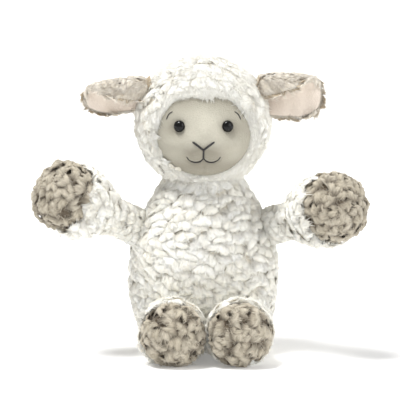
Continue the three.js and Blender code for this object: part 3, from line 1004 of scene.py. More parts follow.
def strands_object(
    name: str,
    root: np.ndarray,
    tip: np.ndarray,
    up: np.ndarray,
    width: np.ndarray,
    depth: np.ndarray,
    tint: np.ndarray,
    nap: np.ndarray,
    floor: float | None = None,
) -> bpy.types.Object:
    """Fibres as low pyramids on their sides: two corners and a ridge at the root, and a tip.

    The root lies a little in the surface, and the ridge stands a share of the width above it.

    Args:
        name: the object's name.
        root: where each fibre starts.
        tip: where each fibre ends.
        up: the direction away from the surface.
        width: each fibre's width at its root.
        depth: the painted shade at each root, by how deep in the pile it lies; less at the tip.
        tint: each fibre's tone.
        nap: each fibre's place in the grain.
        floor: the lowest height that a fibre may reach, if any.

    Returns:
        The object.
    """
    count = len(root)
    side = unit(np.cross(tip - root, up)) * width[:, None] / 2
    sunk = root - up * FIBRE_SUNK
    ridge = root + up * FIBRE_RIDGE * width[:, None]
    corners = np.stack([sunk + side, sunk - side, ridge, tip], axis=1)
    if floor is not None:
        corners[..., 2] = np.maximum(corners[..., 2], floor)
    pyramid = np.array([(0, 2, 3), (2, 1, 3), (1, 0, 3), (0, 1, 2)])
    faces = (pyramid[None] + 4 * np.arange(count)[:, None, None]).reshape(-1, 3)
    # Painted shade: a fibre is shaded at its root and lit at its tip
    attributes = {
        "depth": (depth[:, None] * (0.9, 0.9, 0.8, 0.35)).ravel(),
        "tint": np.repeat(tint, 4),
        "nap": np.repeat(nap, 4, axis=0),
    }
    return make_object(name, corners.reshape(-1, 3), [faces], attributes, smooth=False)


@dataclass
class Plush:
    """One piece of plush: a smooth form, the way its pile lies, and how thick it is there.

    The constants say how much painted shade the backing has below the flaps and how thick a pile
    makes it so, the scale of its grain, and the fuzz: how likely a fibre is kept on a bare
    backing, and how much its direction, length, lift and width vary.
    """

    BACKING_SHADE = 0.9
    SHADED_FROM = 0.6
    NAP_SCALE = 0.6
    FUZZ_CHANCE = 1.1
    FUZZ_SPREAD = 0.5
    FUZZ_LENGTHS = (0.6, 1.1)
    FUZZ_LIFTS = (0.3, 1.1)
    FUZZ_WIDTHS = (0.7, 1.2)

    name: str
    form: Shell
    guide: np.ndarray
    pile: Pile
    finish: Finish
    body: str
    nodes: tuple[str, ...]
    fill: float = 0.7
    floor: float | None = None
    strength: np.ndarray | float = 1.0
    fuzz_per_mm2: float = 0.9

    def build(self, wardrobe: Wardrobe, rng: np.random.Generator) -> None:
        """Makes the backing, the flaps, their fibres and the fuzz between them, and dresses them.

        Args:
            wardrobe: the finishes.
            rng: the source of random numbers.
        """
        strength = self.strength + 0 * self.form.points[..., 0]
        sunk = self.form.points - self.form.normals() * (self.pile.backing_sink * strength)[..., None]
        if self.floor is not None:
            sunk[..., 2] = np.maximum(sunk[..., 2], self.floor)
        # Painted shade: the backing is darker where flaps lie over it
        shade = self.BACKING_SHADE * smoothstep(0, self.SHADED_FROM, strength)
        looks = {"depth": shade, "tint": 0 * strength, "nap": sunk * self.NAP_SCALE}
        backing = shell_object(self.name, Shell(sunk), looks)
        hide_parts(*self.nodes)
        flaps = Flaps.sown(self.form, self.guide, self.pile, rng, strength)
        pads = flaps.pads(f"{self.name}_flaps", self.floor)
        strands = flaps.strands(f"{self.name}_fibres", rng, self.floor)
        pieces = [backing, pads, strands, self.fuzz(Shell(sunk), strength, rng)]
        for piece in pieces:
            wardrobe.dress(piece, self.finish)
            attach(piece, self.body)
        LOG.info("%s: %d flaps", self.name, len(flaps.centre))

    def fuzz(self, shell: Shell, strength: np.ndarray, rng: np.random.Generator) -> bpy.types.Object:
        """Short fibres on the backing, thick where it has no flaps and sparse below them.

        Args:
            shell: the backing.
            strength: how thick the flaps are.
            rng: the source of random numbers.

        Returns:
            The object.
        """
        pile = self.pile
        count = int(self.fuzz_per_mm2 * shell.cell_areas().sum())
        draws = scatter(shell, count, rng)
        kept = rng.uniform(0, 1, count) < self.FUZZ_CHANCE - sample(strength, draws)
        draws = tuple(d[kept] for d in draws)
        count = int(kept.sum())
        root, up = sample(shell.points, draws), unit(sample(shell.normals(), draws))
        flow = unit(sample(self.guide, draws) + rng.normal(0, self.FUZZ_SPREAD, (count, 3)))
        flow = unit(flow - up * np.sum(flow * up, axis=1, keepdims=True))
        length = pile.fibre_length * rng.uniform(*self.FUZZ_LENGTHS, count)[:, None]
        lift = pile.fibre_lift * rng.uniform(*self.FUZZ_LIFTS, count)[:, None]
        width = pile.fibre_width * rng.uniform(*self.FUZZ_WIDTHS, count)
        tint = rng.uniform(0, 1, count)
        nap = root * self.NAP_SCALE + rng.uniform(0, 4, (count, 3))
        return strands_object(
            f"{self.name}_fuzz", root, root + flow * length + up * lift, up, width,
            0 * width, tint, nap, self.floor,
        )


# Torso


@dataclass
class Torso:
    """The pear-shaped body, from its flat seat to the neck that the head sits in."""

    half_width: float = 65.0
    neck_rim_z: float = 157.5
    neck_radius: float = 36.5
    belly_forward: float = 3.0
    depth_share: float = 0.87
    seat_cut: float = 0.5
    spacing: float = 1.8
    girth_share: float = 0.93
    neck_rim: float = 4.0
    neck_end: float = 3.0
    neck_end_share: float = 0.96
    neck_fade: float = 13.0
    neck_zone: Zone = (0.55, 0.95)
    seat_fade: float = 6.0
    drift: float = 0.35
    drift_length: float = 17.0
    pile: Pile = Pile(
        spacing=10.4, row_squeeze=1.55, length=8.4, width=11.6, turn_deg=20, ragged_share=0.2, flute=0.5
    )
    outline_shares: Pairs = (
        (0, 0),
        (0.4, 0.005),
        (0.66, 0.025),
        (0.82, 0.083),
        (0.91, 0.176),
        (0.975, 0.284),
        (1, 0.39),
        (1, 0.475),
        (0.975, 0.56),
        (0.925, 0.645),
        (0.865, 0.725),
        (0.785, 0.8),
        (0.685, 0.868),
    )

    def form(self) -> Shell:
        """The smooth form: an outline turned about Z, drawn in front to back below the neck.

        A point at height z and turn t lies at (r cos t, r d sin t - f, z), where d grows from
        the depth share to 1 over the neck's zone and f is the belly's half sine.

        Returns:
            The form, from the seat to the neck.
        """
        shares = np.array(self.outline_shares)
        outline = shares * (self.half_width, self.neck_rim_z) - (0, self.seat_cut)
        neck = [
            (self.neck_radius, self.neck_rim_z - self.neck_rim),
            (self.neck_radius * self.neck_end_share, self.neck_rim_z + self.neck_end),
        ]
        run = even(spline(np.vstack([outline, neck]), steps=200), self.spacing)[2:]
        columns = int(TAU * self.half_width * self.girth_share / self.spacing)
        turn = np.linspace(0, TAU, columns, endpoint=False)
        radius, up = run[:, :1], run[:, 1:]
        height = up / self.neck_rim_z
        depth = self.depth_share + (1 - self.depth_share) * smoothstep(*self.neck_zone, height)
        forward = self.belly_forward * np.sin(math.pi * np.clip(height, 0, 1))
        x = radius * np.cos(turn)
        y = radius * depth * np.sin(turn) - forward
        return Shell(np.stack([x, y, np.broadcast_to(up, x.shape)], axis=-1))

    def build(self, wardrobe: Wardrobe, rng: np.random.Generator) -> None:
        """Makes the torso's plush.

        The pile lies downwards and drifts to and fro across. It is pressed flat under the seat
        and at the neck, where the head sits on it.

        Args:
            wardrobe: the finishes.
            rng: the source of random numbers.
        """
        base = self.form()
        height = base.points[..., 2]
        guide = np.zeros_like(base.points)
        guide[..., 2] = -1
        guide[..., 0] = self.drift * np.sin(height / self.drift_length)
        pressed = smoothstep(self.seat_cut, self.seat_fade, height)
        pressed = pressed * smoothstep(self.neck_rim_z, self.neck_rim_z - self.neck_fade, height)
        Plush(
            "torso_plush",
            base,
            guide,
            self.pile,
            wardrobe.WHITE,
            "torso",
            ("torso_cover",),
            floor=0.0,
            strength=pressed,
        ).build(wardrobe, rng)


# Head


@dataclass
class HeadForm:
    """The head's smooth form: a ball below, an egg above, and a muzzle in front."""

    halvings: int = 30
    centre_z: float = 204.87
    half_width: float = 60.0
    half_depth: float = 57.0
    half_height: float = 61.0
    ball_radius: float = 59.0
    ball_zone_deg: float = 55.0
    ball_fade_deg: float = 82.0
    muzzle_rise: float = 6.5
    muzzle_half_width: float = 27.0
    muzzle_half_height: float = 19.0
    muzzle_drop: float = 14.0
    face_half_width: float = 42.5
    face_half_height: float = 37.4
    face_drop: float = 5.3

    def radius(self, direction: np.ndarray) -> np.ndarray:
        """The distance from the centre to the surface in each direction.

        An egg's radius, blended below into a ball's by the angle from straight down, and
        raised in front by a bell across and up the muzzle.

        Args:
            direction: unit vectors from the head's centre.

        Returns:
            The distances.
        """
        x, y, z = (direction[..., k] for k in range(3))
        egg = 1 / np.sqrt(
            (x / self.half_width) ** 2 + (y / self.half_depth) ** 2 + (z / self.half_height) ** 2
        )
        polar = np.degrees(np.arccos(np.clip(-z, -1, 1)))
        share = smoothstep(self.ball_zone_deg, self.ball_fade_deg, polar)
        radius = self.ball_radius + (egg - self.ball_radius) * share
        across = x * radius / self.muzzle_half_width
        up = (z * radius + self.muzzle_drop) / self.muzzle_half_height
        return radius + (y < 0) * self.muzzle_rise * share * np.exp(-(across**2) - up**2)

    def rim_angle(self, turn: np.ndarray, grow: float = 0.0) -> np.ndarray:
        """The angle from the front at which the face's oval meets the head, at each turn.

        It is found by halving: the oval's measure (x / a)^2 + (z / b)^2 grows with the angle.

        Args:
            turn: angles round the front axis.
            grow: how much wider than the face the oval is.

        Returns:
            The angle for each turn.
        """
        low, high = np.zeros_like(turn), np.full_like(turn, math.pi / 2)
        for _ in range(self.halvings):
            middle = (low + high) / 2
            direction = self.direction(turn, middle)
            place = direction * self.radius(direction)[..., None]
            measure = (place[..., 0] / (self.face_half_width + grow)) ** 2
            measure += ((place[..., 2] + self.face_drop) / (self.face_half_height + grow)) ** 2
            inside = measure < 1
            low, high = np.where(inside, middle, low), np.where(inside, high, middle)
        return (low + high) / 2

    @staticmethod
    def direction(turn: np.ndarray, angle: np.ndarray) -> np.ndarray:
        """The direction at an angle from the front, and a turn round it.

        Args:
            turn: turns round the front axis.
            angle: angles from the front.

        Returns:
            Unit vectors.
        """
        return np.stack(
            [np.sin(angle) * np.cos(turn), -np.cos(angle), np.sin(angle) * np.sin(turn)], axis=-1
        )

    def place(self, direction: np.ndarray, radius: np.ndarray) -> np.ndarray:
        """The point at a radius from the head's centre."""
        return direction * radius[..., None] + (0, 0, self.centre_z)


@dataclass
class Hood:
    """The curly hood over the whole head but the face, with a rolled rim round the face.

    The last zones say where a direction from the head's centre starts to count as front, back
    and so on, and where it counts in full.
    """

    head: HeadForm
    spacing: float = 1.8
    lip: float = 3.6
    roll_rows: int = 9
    rim_gap: float = 3.0
    fringe: float = 3.0
    fringe_zone: Zone = (0.8, 0.97)
    fringe_waves: float = 4.5
    fringe_start: float = 0.8
    corner: float = 2.6
    corner_up: float = 0.72
    corner_width: float = 0.2
    back_gap: float = 0.03
    bare_rows: float = 13.5
    bare_less_above: float = 2.0
    bare_less_left: float = 4.0
    bare_fade: float = 3.0
    smooth_share: float = 0.45
    outwards: float = 0.8
    forwards: float = 1.2
    front_zone: Zone = (0.2, 0.8)
    forehead_zone: Zone = (0.1, 0.5)
    top_zone: Zone = (-0.2, 0.5)
    left_zone: Zone = (0.2, -0.6)
    back_zone: Zone = (-0.1, 0.5)
    curly_left_zone: Zone = (0.4, -0.5)
    below_crown_zone: Zone = (1.1, 0.4)
    pile: Pile = Pile(thickness=3.2, tip_rise=1.0, turn_deg=45)

    def form(self) -> Shell:
        """The smooth form: rings from inside the rolled rim, over it and back to the nape.

        Round the rim a ring sinks by lip (1 - cos a) and moves in by lip sin a, for a from a
        half turn down to zero. Behind it the angle from the front grows evenly to the back.
        Over the forehead the rim hangs further down, in scallops, and beside it draws back.

        Returns:
            The form, from inside the rim to the nape.
        """
        columns = int(TAU * self.head.half_width / self.spacing)
        turn = np.linspace(0, TAU, columns, endpoint=False)
        scallops = self.fringe * np.abs(np.sin(self.fringe_waves * turn + self.fringe_start))
        scallops *= smoothstep(*self.fringe_zone, np.sin(turn))
        scallops -= self.corner * bump(np.sin(turn) - self.corner_up, self.corner_width)
        rim = self.head.rim_angle(turn, self.rim_gap) - scallops / self.head.half_width
        rolls = np.linspace(math.pi, 0, self.roll_rows, endpoint=False)[:, None]
        shift = self.lip * np.sin(rolls) / self.head.half_width
        count = int((math.pi - float(rim.mean())) * self.head.half_width / self.spacing)
        share = np.linspace(0, 1, count)[:, None]
        angle = np.vstack([rim - shift, rim + (math.pi - self.back_gap - rim) * share])
        sunk = np.vstack([self.lip * (1 - np.cos(rolls)) + 0 * rim, 0 * share + 0 * rim])
        direction = self.head.direction(np.broadcast_to(turn, angle.shape), angle)
        return Shell(self.head.place(direction, self.head.radius(direction) - sunk))

    def build(self, wardrobe: Wardrobe, rng: np.random.Generator) -> None:
        """Makes the hood's plush: bare at the rim, thick on the viewer's left and at the back.

        The pile lies downwards and outwards, and over the forehead forwards.

        Args:
            wardrobe: the finishes.
            rng: the source of random numbers.
        """
        base = self.form()
        centred = unit(base.points - (0, 0, self.head.centre_z))
        guide = np.zeros_like(base.points)
        guide[..., 2] = -1
        guide += self.outwards * centred * (1, 1, 0)
        front = smoothstep(*self.front_zone, -centred[..., 1])
        front = front * smoothstep(*self.forehead_zone, centred[..., 2])
        guide[..., 1] -= self.forwards * front
        row = np.arange(len(base.points))[:, None]
        turn = np.linspace(0, TAU, base.points.shape[1], endpoint=False)
        top = smoothstep(*self.top_zone, np.sin(turn))
        left = smoothstep(*self.left_zone, centred[..., 0])
        bare = self.bare_rows - self.bare_less_above * top - self.bare_less_left * left * (1 - top)
        strength = smoothstep(bare, bare + self.bare_fade, row)
        back = smoothstep(*self.back_zone, centred[..., 1])
        curly = np.maximum(smoothstep(*self.curly_left_zone, centred[..., 0]), back)
        below_crown = smoothstep(*self.below_crown_zone, centred[..., 2])
        curly_share = (1 - self.smooth_share) * curly * below_crown
        strength = strength * (self.smooth_share + curly_share)
        Plush(
            "hood_plush",
            base,
            guide,
            self.pile,
            wardrobe.WHITE,
            "head",
            ("head_cover",),
            strength=strength,
        ).build(wardrobe, rng)


@dataclass(frozen=True)
class Bell:
    """A rounded rise, the same on both sides of the face, or a dip where it is negative."""

    rise: float
    across: float
    up: float
    half_width: float
    half_height: float

    def at(self, x: np.ndarray, z: np.ndarray) -> np.ndarray:
        """The rise at places: a bell across the face times a bell up it."""
        across = bump(np.abs(x) - self.across, self.half_width)
        return self.rise * across * bump(z - self.up, self.half_height)


@dataclass
class Face:
    """The smooth velour face, with its sockets, cheeks, muzzle and mouth crease."""

    head: HeadForm
    rounds: int = 12
    recess: float = 2.0
    under_hood: float = 7.0
    eye_across: float = 21.5
    eye_up: float = 4.6
    socket: float = 3.2
    socket_half_width: float = 9.0
    socket_half_height: float = 7.5
    bridge: Bell = Bell(2.4, across=0, up=1, half_width=8, half_height=12)
    cheeks: Bell = Bell(1.8, across=24, up=-13, half_width=10, half_height=9)
    lobes: Bell = Bell(2.6, across=8.5, up=-18.5, half_width=7.5, half_height=7)
    lip: Bell = Bell(1.4, across=0, up=-32, half_width=10, half_height=4)
    bow_up: float = -23.0
    bow_sag: float = 5.0
    bow_half: float = 8.0
    bow_bend: float = 1.1
    bow_reach: float = 2.5
    crease_depth: float = 1.3
    crease_half_width: float = 1.5
    crease_ends: Zone = (17.0, 13.0)
    seam_depth: float = 0.8
    seam_half_width: float = 1.3
    seam_top: Zone = (-13.0, -16.0)
    # Painted shade on the face: a little everywhere, more towards the edge under the hood's rim, on the
    # chin and on the brow under the hood
    least_shade: float = 0.1
    edge_shade: float = 0.5
    edge_zone: Zone = (0.4, 0.95)
    chin_shade: float = 0.4
    chin_zone: Zone = (-24.0, -34.0)
    brow_shade: float = 0.3
    brow_zone: Zone = (12.0, 30.0)
    # Painted shade on the muzzle, and a painted highlight on the bridge of the nose
    muzzle_shade: Bell = Bell(1.6, across=0, up=-21, half_width=17, half_height=10)
    bridge_highlight: Bell = Bell(-0.4, across=0, up=-1, half_width=13, half_height=15)
    rows: int = 90
    back_rows: int = 5
    columns: int = 220
    first_share: float = 0.012
    back_shares: tuple[float, float] = (0.93, 0.5)
    tuck_zone: Zone = (0.84, 1.0)
    edge_tuck: float = 2.2
    back_tuck: float = 5.2

    def eye_bell(self, rise: float, out: float, down: float) -> Bell:
        """A bell of a socket's size about each eye, set out and down from its middle.

        Args:
            rise: how high the bell is.
            out: how far outwards it is set.
            down: how far down it is set.

        Returns:
            The bell.
        """
        return Bell(
            rise, self.eye_across + out, self.eye_up - down, self.socket_half_width, self.socket_half_height
        )

    def relief(self, x: np.ndarray, z: np.ndarray) -> np.ndarray:
        """What the face's surface stands above the recessed head form, across x and up z.

        It is a sum of bells: sockets round the eyes, the bridge of the nose, the cheeks, the
        two lobes of the muzzle and the lower lip, and of narrow creases along the mouth's bow
        and below the nose. Each half of the bow hangs as a cosine does about its own middle.

        Args:
            x: places across the face.
            z: places up it from the head's centre.

        Returns:
            The heights.
        """
        side = np.abs(x)
        bells = (self.eye_bell(-self.socket, out=1, down=1), self.bridge, self.cheeks, self.lobes, self.lip)
        hang = np.cos((side - self.bow_half) / self.bow_half * self.bow_bend).clip(0)
        hang = hang * (side < self.bow_reach * self.bow_half)
        bow = self.bow_up - self.bow_sag * hang
        mouth = -self.crease_depth * bump(z - bow, self.crease_half_width)
        mouth *= smoothstep(*self.crease_ends, side)
        seam = -self.seam_depth * bump(x, self.seam_half_width) * smoothstep(*self.seam_top, z)
        return sum(bell.at(x, z) for bell in bells) + mouth + seam

    def at(self, x: np.ndarray, z: np.ndarray, lift: float) -> np.ndarray:
        """Points on the face across x and up z from the head's centre, lifted off it.

        The depth is found by repeating: from a direction, its radius; from the radius, the
        depth that gives the wanted x and z.

        Args:
            x: places across the face.
            z: places up it from the head's centre.
            lift: how far off the face.

        Returns:
            The points.
        """
        x, z = np.asarray(x, float), np.asarray(z, float)
        y = -np.full_like(x, self.head.half_depth)
        for _ in range(self.rounds):
            direction = unit(np.stack([x, y, z], axis=-1))
            radius = self.head.radius(direction) - self.recess + self.relief(x, z) + lift
            y = -np.sqrt(np.maximum(radius**2 - x**2 - z**2, 1))
        return np.stack([x, y, z + self.head.centre_z], axis=-1)

    def build(self, wardrobe: Wardrobe) -> None:
        """Makes the face: rings from its middle out to under the hood's rim, and a back.

        It has painted shade in and under the sockets, towards the edge under the hood's rim, on the
        muzzle and chin, which face down, and on the brow under the hood, and a painted highlight on
        the bridge of the nose.

        Args:
            wardrobe: the finishes.
        """
        turn = np.linspace(0, TAU, self.columns, endpoint=False)
        edge = self.head.rim_angle(turn, self.under_hood)
        share = np.linspace(self.first_share, 1, self.rows)[:, None]
        back = np.linspace(*self.back_shares, self.back_rows)[:, None]
        angle = np.vstack([edge * share, edge * back])
        direction = self.head.direction(np.broadcast_to(turn, angle.shape), angle)
        radius = self.head.radius(direction) - self.recess
        place = direction * radius[..., None]
        x, z = place[..., 0], place[..., 2]
        edge_tuck = self.edge_tuck * smoothstep(*self.tuck_zone, share)
        tuck = np.vstack([edge_tuck, back * 0 + self.back_tuck])
        points = self.head.place(direction, radius + self.relief(x, z) - tuck)
        # Painted shade in and under the sockets and on the muzzle, and a painted highlight on the bridge
        shades = (self.eye_bell(0.85, out=3, down=3.5), self.muzzle_shade, self.bridge_highlight)
        reach = np.vstack([share, back * 0 + 1])
        edge_part = self.least_shade + self.edge_shade * smoothstep(*self.edge_zone, reach)
        shade = edge_part + sum(bell.at(x, z) for bell in shades)
        chin_part = self.chin_shade * smoothstep(*self.chin_zone, z)
        shade += chin_part + self.brow_shade * smoothstep(*self.brow_zone, z)
        face = shell_object("face_velour", Shell(points), {"depth": np.clip(shade, 0, 1)})
        wardrobe.dress(face, wardrobe.FACE)
        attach(face, "head")
        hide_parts("face_panel")


@dataclass
class Eye:
    """A glossy dome on the face.

    Its skirt is given by rings, each a share of the radius and a height.
    """

    face: Face
    side: Side
    radius: float = 5.3
    height: float = 4.4
    proud: float = 0.9
    rings: int = 24
    columns: int = 48
    skirt: Pairs = ((0.97, -1.0), (0.9, -2.4))

    def build(self, wardrobe: Wardrobe) -> None:
        """Makes the dome: rings of radius r sin a and height h cos a, with a short skirt.

        Args:
            wardrobe: the finishes.
        """
        across = np.array([self.side.hand * self.face.eye_across])
        seat = self.face.at(across, np.array([self.face.eye_up]), self.proud)[0]
        outward = unit(seat - (0, 0, self.face.head.centre_z))
        side = unit(np.cross(outward, (0, 0, 1)))
        up = np.cross(side, outward)
        polar = np.linspace(0.04, math.pi / 2, self.rings)
        skirt = np.array(self.skirt)
        radii = self.radius * np.concatenate([np.sin(polar), skirt[:, 0]])
        levels = np.concatenate([self.height * np.cos(polar), skirt[:, 1]])
        turn = np.linspace(0, TAU, self.columns, endpoint=False)
        ring = np.cos(turn)[:, None] * side + np.sin(turn)[:, None] * up
        points = seat + radii[:, None, None] * ring + (levels[:, None] * outward)[:, None]
        eye = shell_object(f"eye_{self.side.value}_dome", Shell(points))
        wardrobe.dress(eye, wardrobe.EYE)
        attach(eye, "head")
        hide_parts(f"eye_{self.side.value}")


@dataclass
class Embroidery:
    """The threads of the nose, mouth and brows, laid on the face.

    A line is a row of places, across from the middle of the face and up from the head's centre.
    Of the nose's wings and the mouth it is the right half, from the middle outwards.
    """

    face: Face
    nose_radius: float = 0.95
    stem_share: float = 0.85
    mouth_radius: float = 0.65
    brow_radius: float = 0.45
    lift_share: float = 0.35
    step: float = 0.5
    wing: Pairs = ((0, -14.9), (1.6, -14), (5, -11.2), (9.8, -7.9))
    stem: Pairs = ((0, -14.6), (0, -19), (0, -24.4))
    mouth: Pairs = ((0, -24.4), (3, -27.2), (8, -28.1), (12.5, -26), (15.1, -22.4))
    brow: Pairs = ((27.6, 17.3), (31, 14.6), (33.2, 9.9))

    @staticmethod
    def both_halves(line: Pairs) -> Pairs:
        """A right half as the whole line, from left to right."""
        left = tuple((-across, up) for across, up in reversed(line[1:]))
        return left + line

    def lay(self, name: str, line: Pairs, radius: float) -> bpy.types.Object:
        """A thread along a smooth curve through a line's places.

        Args:
            name: the object's name.
            line: the places.
            radius: the thread's radius.

        Returns:
            The object.
        """
        run = even(spline(np.array(line), steps=60), self.step)
        path = self.face.at(run[:, 0], run[:, 1], radius * self.lift_share)
        return thread_object(name, path, radius)

    def build(self, wardrobe: Wardrobe) -> None:
        """Makes the nose's two wings and stem, the mouth, and a brow on each side.

        Args:
            wardrobe: the finishes.
        """
        wings = self.lay("nose_wings", self.both_halves(self.wing), self.nose_radius)
        stem = self.lay("nose_stem", self.stem, self.nose_radius * self.stem_share)
        mouth = self.lay("mouth_line", self.both_halves(self.mouth), self.mouth_radius)
        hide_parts("nose_stitching")
        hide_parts("mouth_stitching")
        pieces = [wings, stem, mouth]
        for side in Side:
            line = tuple((side.hand * across, up) for across, up in self.brow)
            brow = self.lay(f"brow_{side.value}_line", line, self.brow_radius)
            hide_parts(f"brow_{side.value}")
            pieces.append(brow)
        for piece in pieces:
            wardrobe.dress(piece, wardrobe.THREAD)
            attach(piece, "head")


# Ears


@dataclass
class Ear:
    """One ear: a curled leaf of beige plush with a smooth lining in its cup."""

    head: HeadForm
    side: Side
    open_deg: float
    droop_deg: float
    forward_deg: float = 6.0
    pole_angle: float = 0.05
    root_squareness: float = 0.25
    length: float = 48.5
    half_width: float = 30.0
    thickness: float = 7.0
    root_rise: float = 23.0
    root_back: float = 3.0
    proud: float = 2.0
    sunk: float = 10.0
    fold_lift: float = 14.0
    panel_radius: float = 45.0
    fold_root_radius: float = 6.5
    fold_tip_radius: float = 14.0
    fold_most_deg: float = 165.0
    tip_drop: float = 9.0
    tip_taper: float = 0.0
    lower_trim: float = 0.0
    root_share: float = 1.1
    lining_inset: float = 1.6
    lining_rise: float = 1.5
    lining_thickness: float = 2.4
    grid: tuple[int, int] = (90, 170)
    lining_grid: tuple[int, int] = (60, 100)
    lining_fold: float = 0.5
    lining_fold_length: float = 14.0
    lining_fold_seed: int = 5
    lining_shade: float = 0.75
    lining_shade_reach: float = 0.55
    cup_bareness: float = 0.95
    cup_zone: Zone = (0.35, 0.8)
    sag: float = 0.4
    fuzz_per_mm2: float = 0.6
    pile: Pile = Pile(
        spacing=5.2, length=6.0, width=4.4, thickness=2.0, root_sink=1.6, tip_rise=0.9,
        tip_curl=0.4, flute=0.3, backing_sink=1.2, turn_deg=28, fibres=70, fibre_width=0.7,
        fibre_lift=1.0, wisp_share=0.1, wisp_length=5.0, wisp_lift=2.2,
    )

    def axes(self) -> tuple[np.ndarray, np.ndarray, np.ndarray, np.ndarray]:
        """The ear's root, and its directions along, across and out of its open side.

        Returns:
            The root, and the three directions.
        """
        droop, forward, opened = (
            math.radians(a) for a in (self.droop_deg, self.forward_deg, self.open_deg)
        )
        along = np.array([
            self.side.hand * math.cos(droop) * math.cos(forward),
            -math.cos(droop) * math.sin(forward),
            -math.sin(droop),
        ])
        facing = np.array([0, -math.cos(opened), math.sin(opened)])
        facing = unit(facing - along * facing.dot(along))
        direction = unit(np.array([self.side.hand * self.head.half_width, self.root_back, self.root_rise]))
        root = direction * (self.head.radius(direction) + self.proud) + (0, 0, self.head.centre_z)
        return root, along, np.cross(facing, along) * self.side.hand, facing

    def section(self, arc: np.ndarray, fold: np.ndarray) -> tuple[np.ndarray, ...]:
        """Where an arc from the ear's fold line leads, across the ear and out of it.

        Above the line it bends on the fold's radius up to the most that it may, and then runs
        straight. Below the line it bends the same way on the panel's larger radius.

        Args:
            arc: the length of the arc, negative below the fold line.
            fold: the fold's radius.

        Returns:
            The way across, the way out, and the two parts of the direction out of it.
        """
        hand = np.where(arc > 0, 1.0, -1.0)
        radius = np.where(arc > 0, fold, self.panel_radius)
        turn = np.minimum(np.abs(arc) / radius, math.radians(self.fold_most_deg))
        rest = np.abs(arc) - radius * turn
        across = hand * (radius * np.sin(turn) + rest * np.cos(turn))
        out = radius * (1 - np.cos(turn)) + rest * np.sin(turn)
        return across, out, -hand * np.sin(turn), np.cos(turn)

    def leaf(self, inset: float, thickness: float, grid: tuple[int, int], lining: bool) -> np.ndarray:
        """A ball flattened to an oval pad, broad at its root and folded about its length.

        A point of the unit ball (a, b, c) lies a along the ear, at an arc b across it, and c
        times half the thickness towards the open side. The half at the root is squarer than an
        oval. The tip is tapered and the lower half trimmed by their shares. The lining rides on
        the leaf's dome.

        Args:
            inset: how far the pad's edge lies inside the ear's.
            thickness: the pad's thickness in the middle.
            grid: how many rings from root to tip, and how many points a ring has.
            lining: whether the pad lies on the leaf, and not in its middle.

        Returns:
            The pad's points on a grid.
        """
        rows, columns = grid
        root, along, across, facing = self.axes()
        polar = np.linspace(self.pole_angle, math.pi - self.pole_angle, rows)[:, None]
        turn = np.linspace(0, TAU, columns, endpoint=False)[None, :]
        half = (self.length + self.sunk) / 2
        a = -np.cos(polar) * (half - inset) / half + 0 * turn
        b = np.sin(polar) * np.cos(turn) * (self.half_width - inset) / self.half_width
        c = np.sin(polar) * np.sin(turn)
        rootward = np.minimum(a, 0) ** 2
        squarer = ((1 + rootward) / (1 - rootward)) ** self.root_squareness
        narrow = self.root_share + (1 - self.root_share) * smoothstep(-1, 0, a)
        narrow = narrow * (1 - self.tip_taper * np.maximum(a, 0) ** 2) * (1 - self.lower_trim * (b < 0))
        arc = b * self.half_width * narrow * squarer - self.tip_drop * np.maximum(a, 0) ** 2
        fold = self.fold_root_radius + (self.fold_tip_radius - self.fold_root_radius) * (a + 1) / 2
        way, out, normal_across, normal_out = self.section(arc, fold)
        dome = np.sqrt(np.maximum(1 - a * a - b * b, 0)) * self.thickness / 2
        up = (dome + self.lining_rise if lining else 0) + c * thickness / 2
        return (
            root
            + (a * half + half - self.sunk)[..., None] * along
            + (self.fold_lift + way + up * normal_across)[..., None] * across
            + (out + up * normal_out)[..., None] * facing
        )

    def build(self, wardrobe: Wardrobe, rng: np.random.Generator) -> None:
        """Makes the ear's plush back and rim, with hardly any pile in its cup, and its lining.

        The lining has slight folds along the ear, and painted shade towards its root.

        Args:
            wardrobe: the finishes.
            rng: the source of random numbers.
        """
        name = self.side.value
        root, along, _, facing = self.axes()
        base = Shell(self.leaf(0, self.thickness, self.grid, lining=False))
        guide = np.broadcast_to(along, base.points.shape).copy()
        guide[..., 2] -= self.sag
        inner = smoothstep(*self.cup_zone, base.normals() @ facing)
        Plush(
            f"ear_{name}_plush",
            base,
            guide,
            self.pile,
            wardrobe.EAR_PLUSH,
            f"ear_{name}",
            (f"ear_outer_{name}",),
            fill=0.3,
            strength=1 - self.cup_bareness * inner,
            fuzz_per_mm2=self.fuzz_per_mm2,
        ).build(wardrobe, rng)
        points = self.leaf(self.lining_inset, self.lining_thickness, self.lining_grid, lining=True)
        lining = Shell(points)
        normals = lining.normals()
        folds = waves(points * (1, 1, 0.4), self.lining_fold_length, self.lining_fold_seed)
        lining = Shell(points + normals * (self.lining_fold * folds)[..., None])
        rows, columns = self.lining_grid
        reach = np.linspace(0, 1, rows)[:, None] + np.zeros((1, columns))
        # Painted shade, darker towards the lining's root
        shade = self.lining_shade * smoothstep(self.lining_shade_reach, 0.0, reach)
        piece = shell_object(f"ear_{name}_lining", lining, {"depth": shade})
        wardrobe.dress(piece, wardrobe.EAR)
        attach(piece, f"ear_{name}")
        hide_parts(f"ear_lining_{name}")


# Limbs


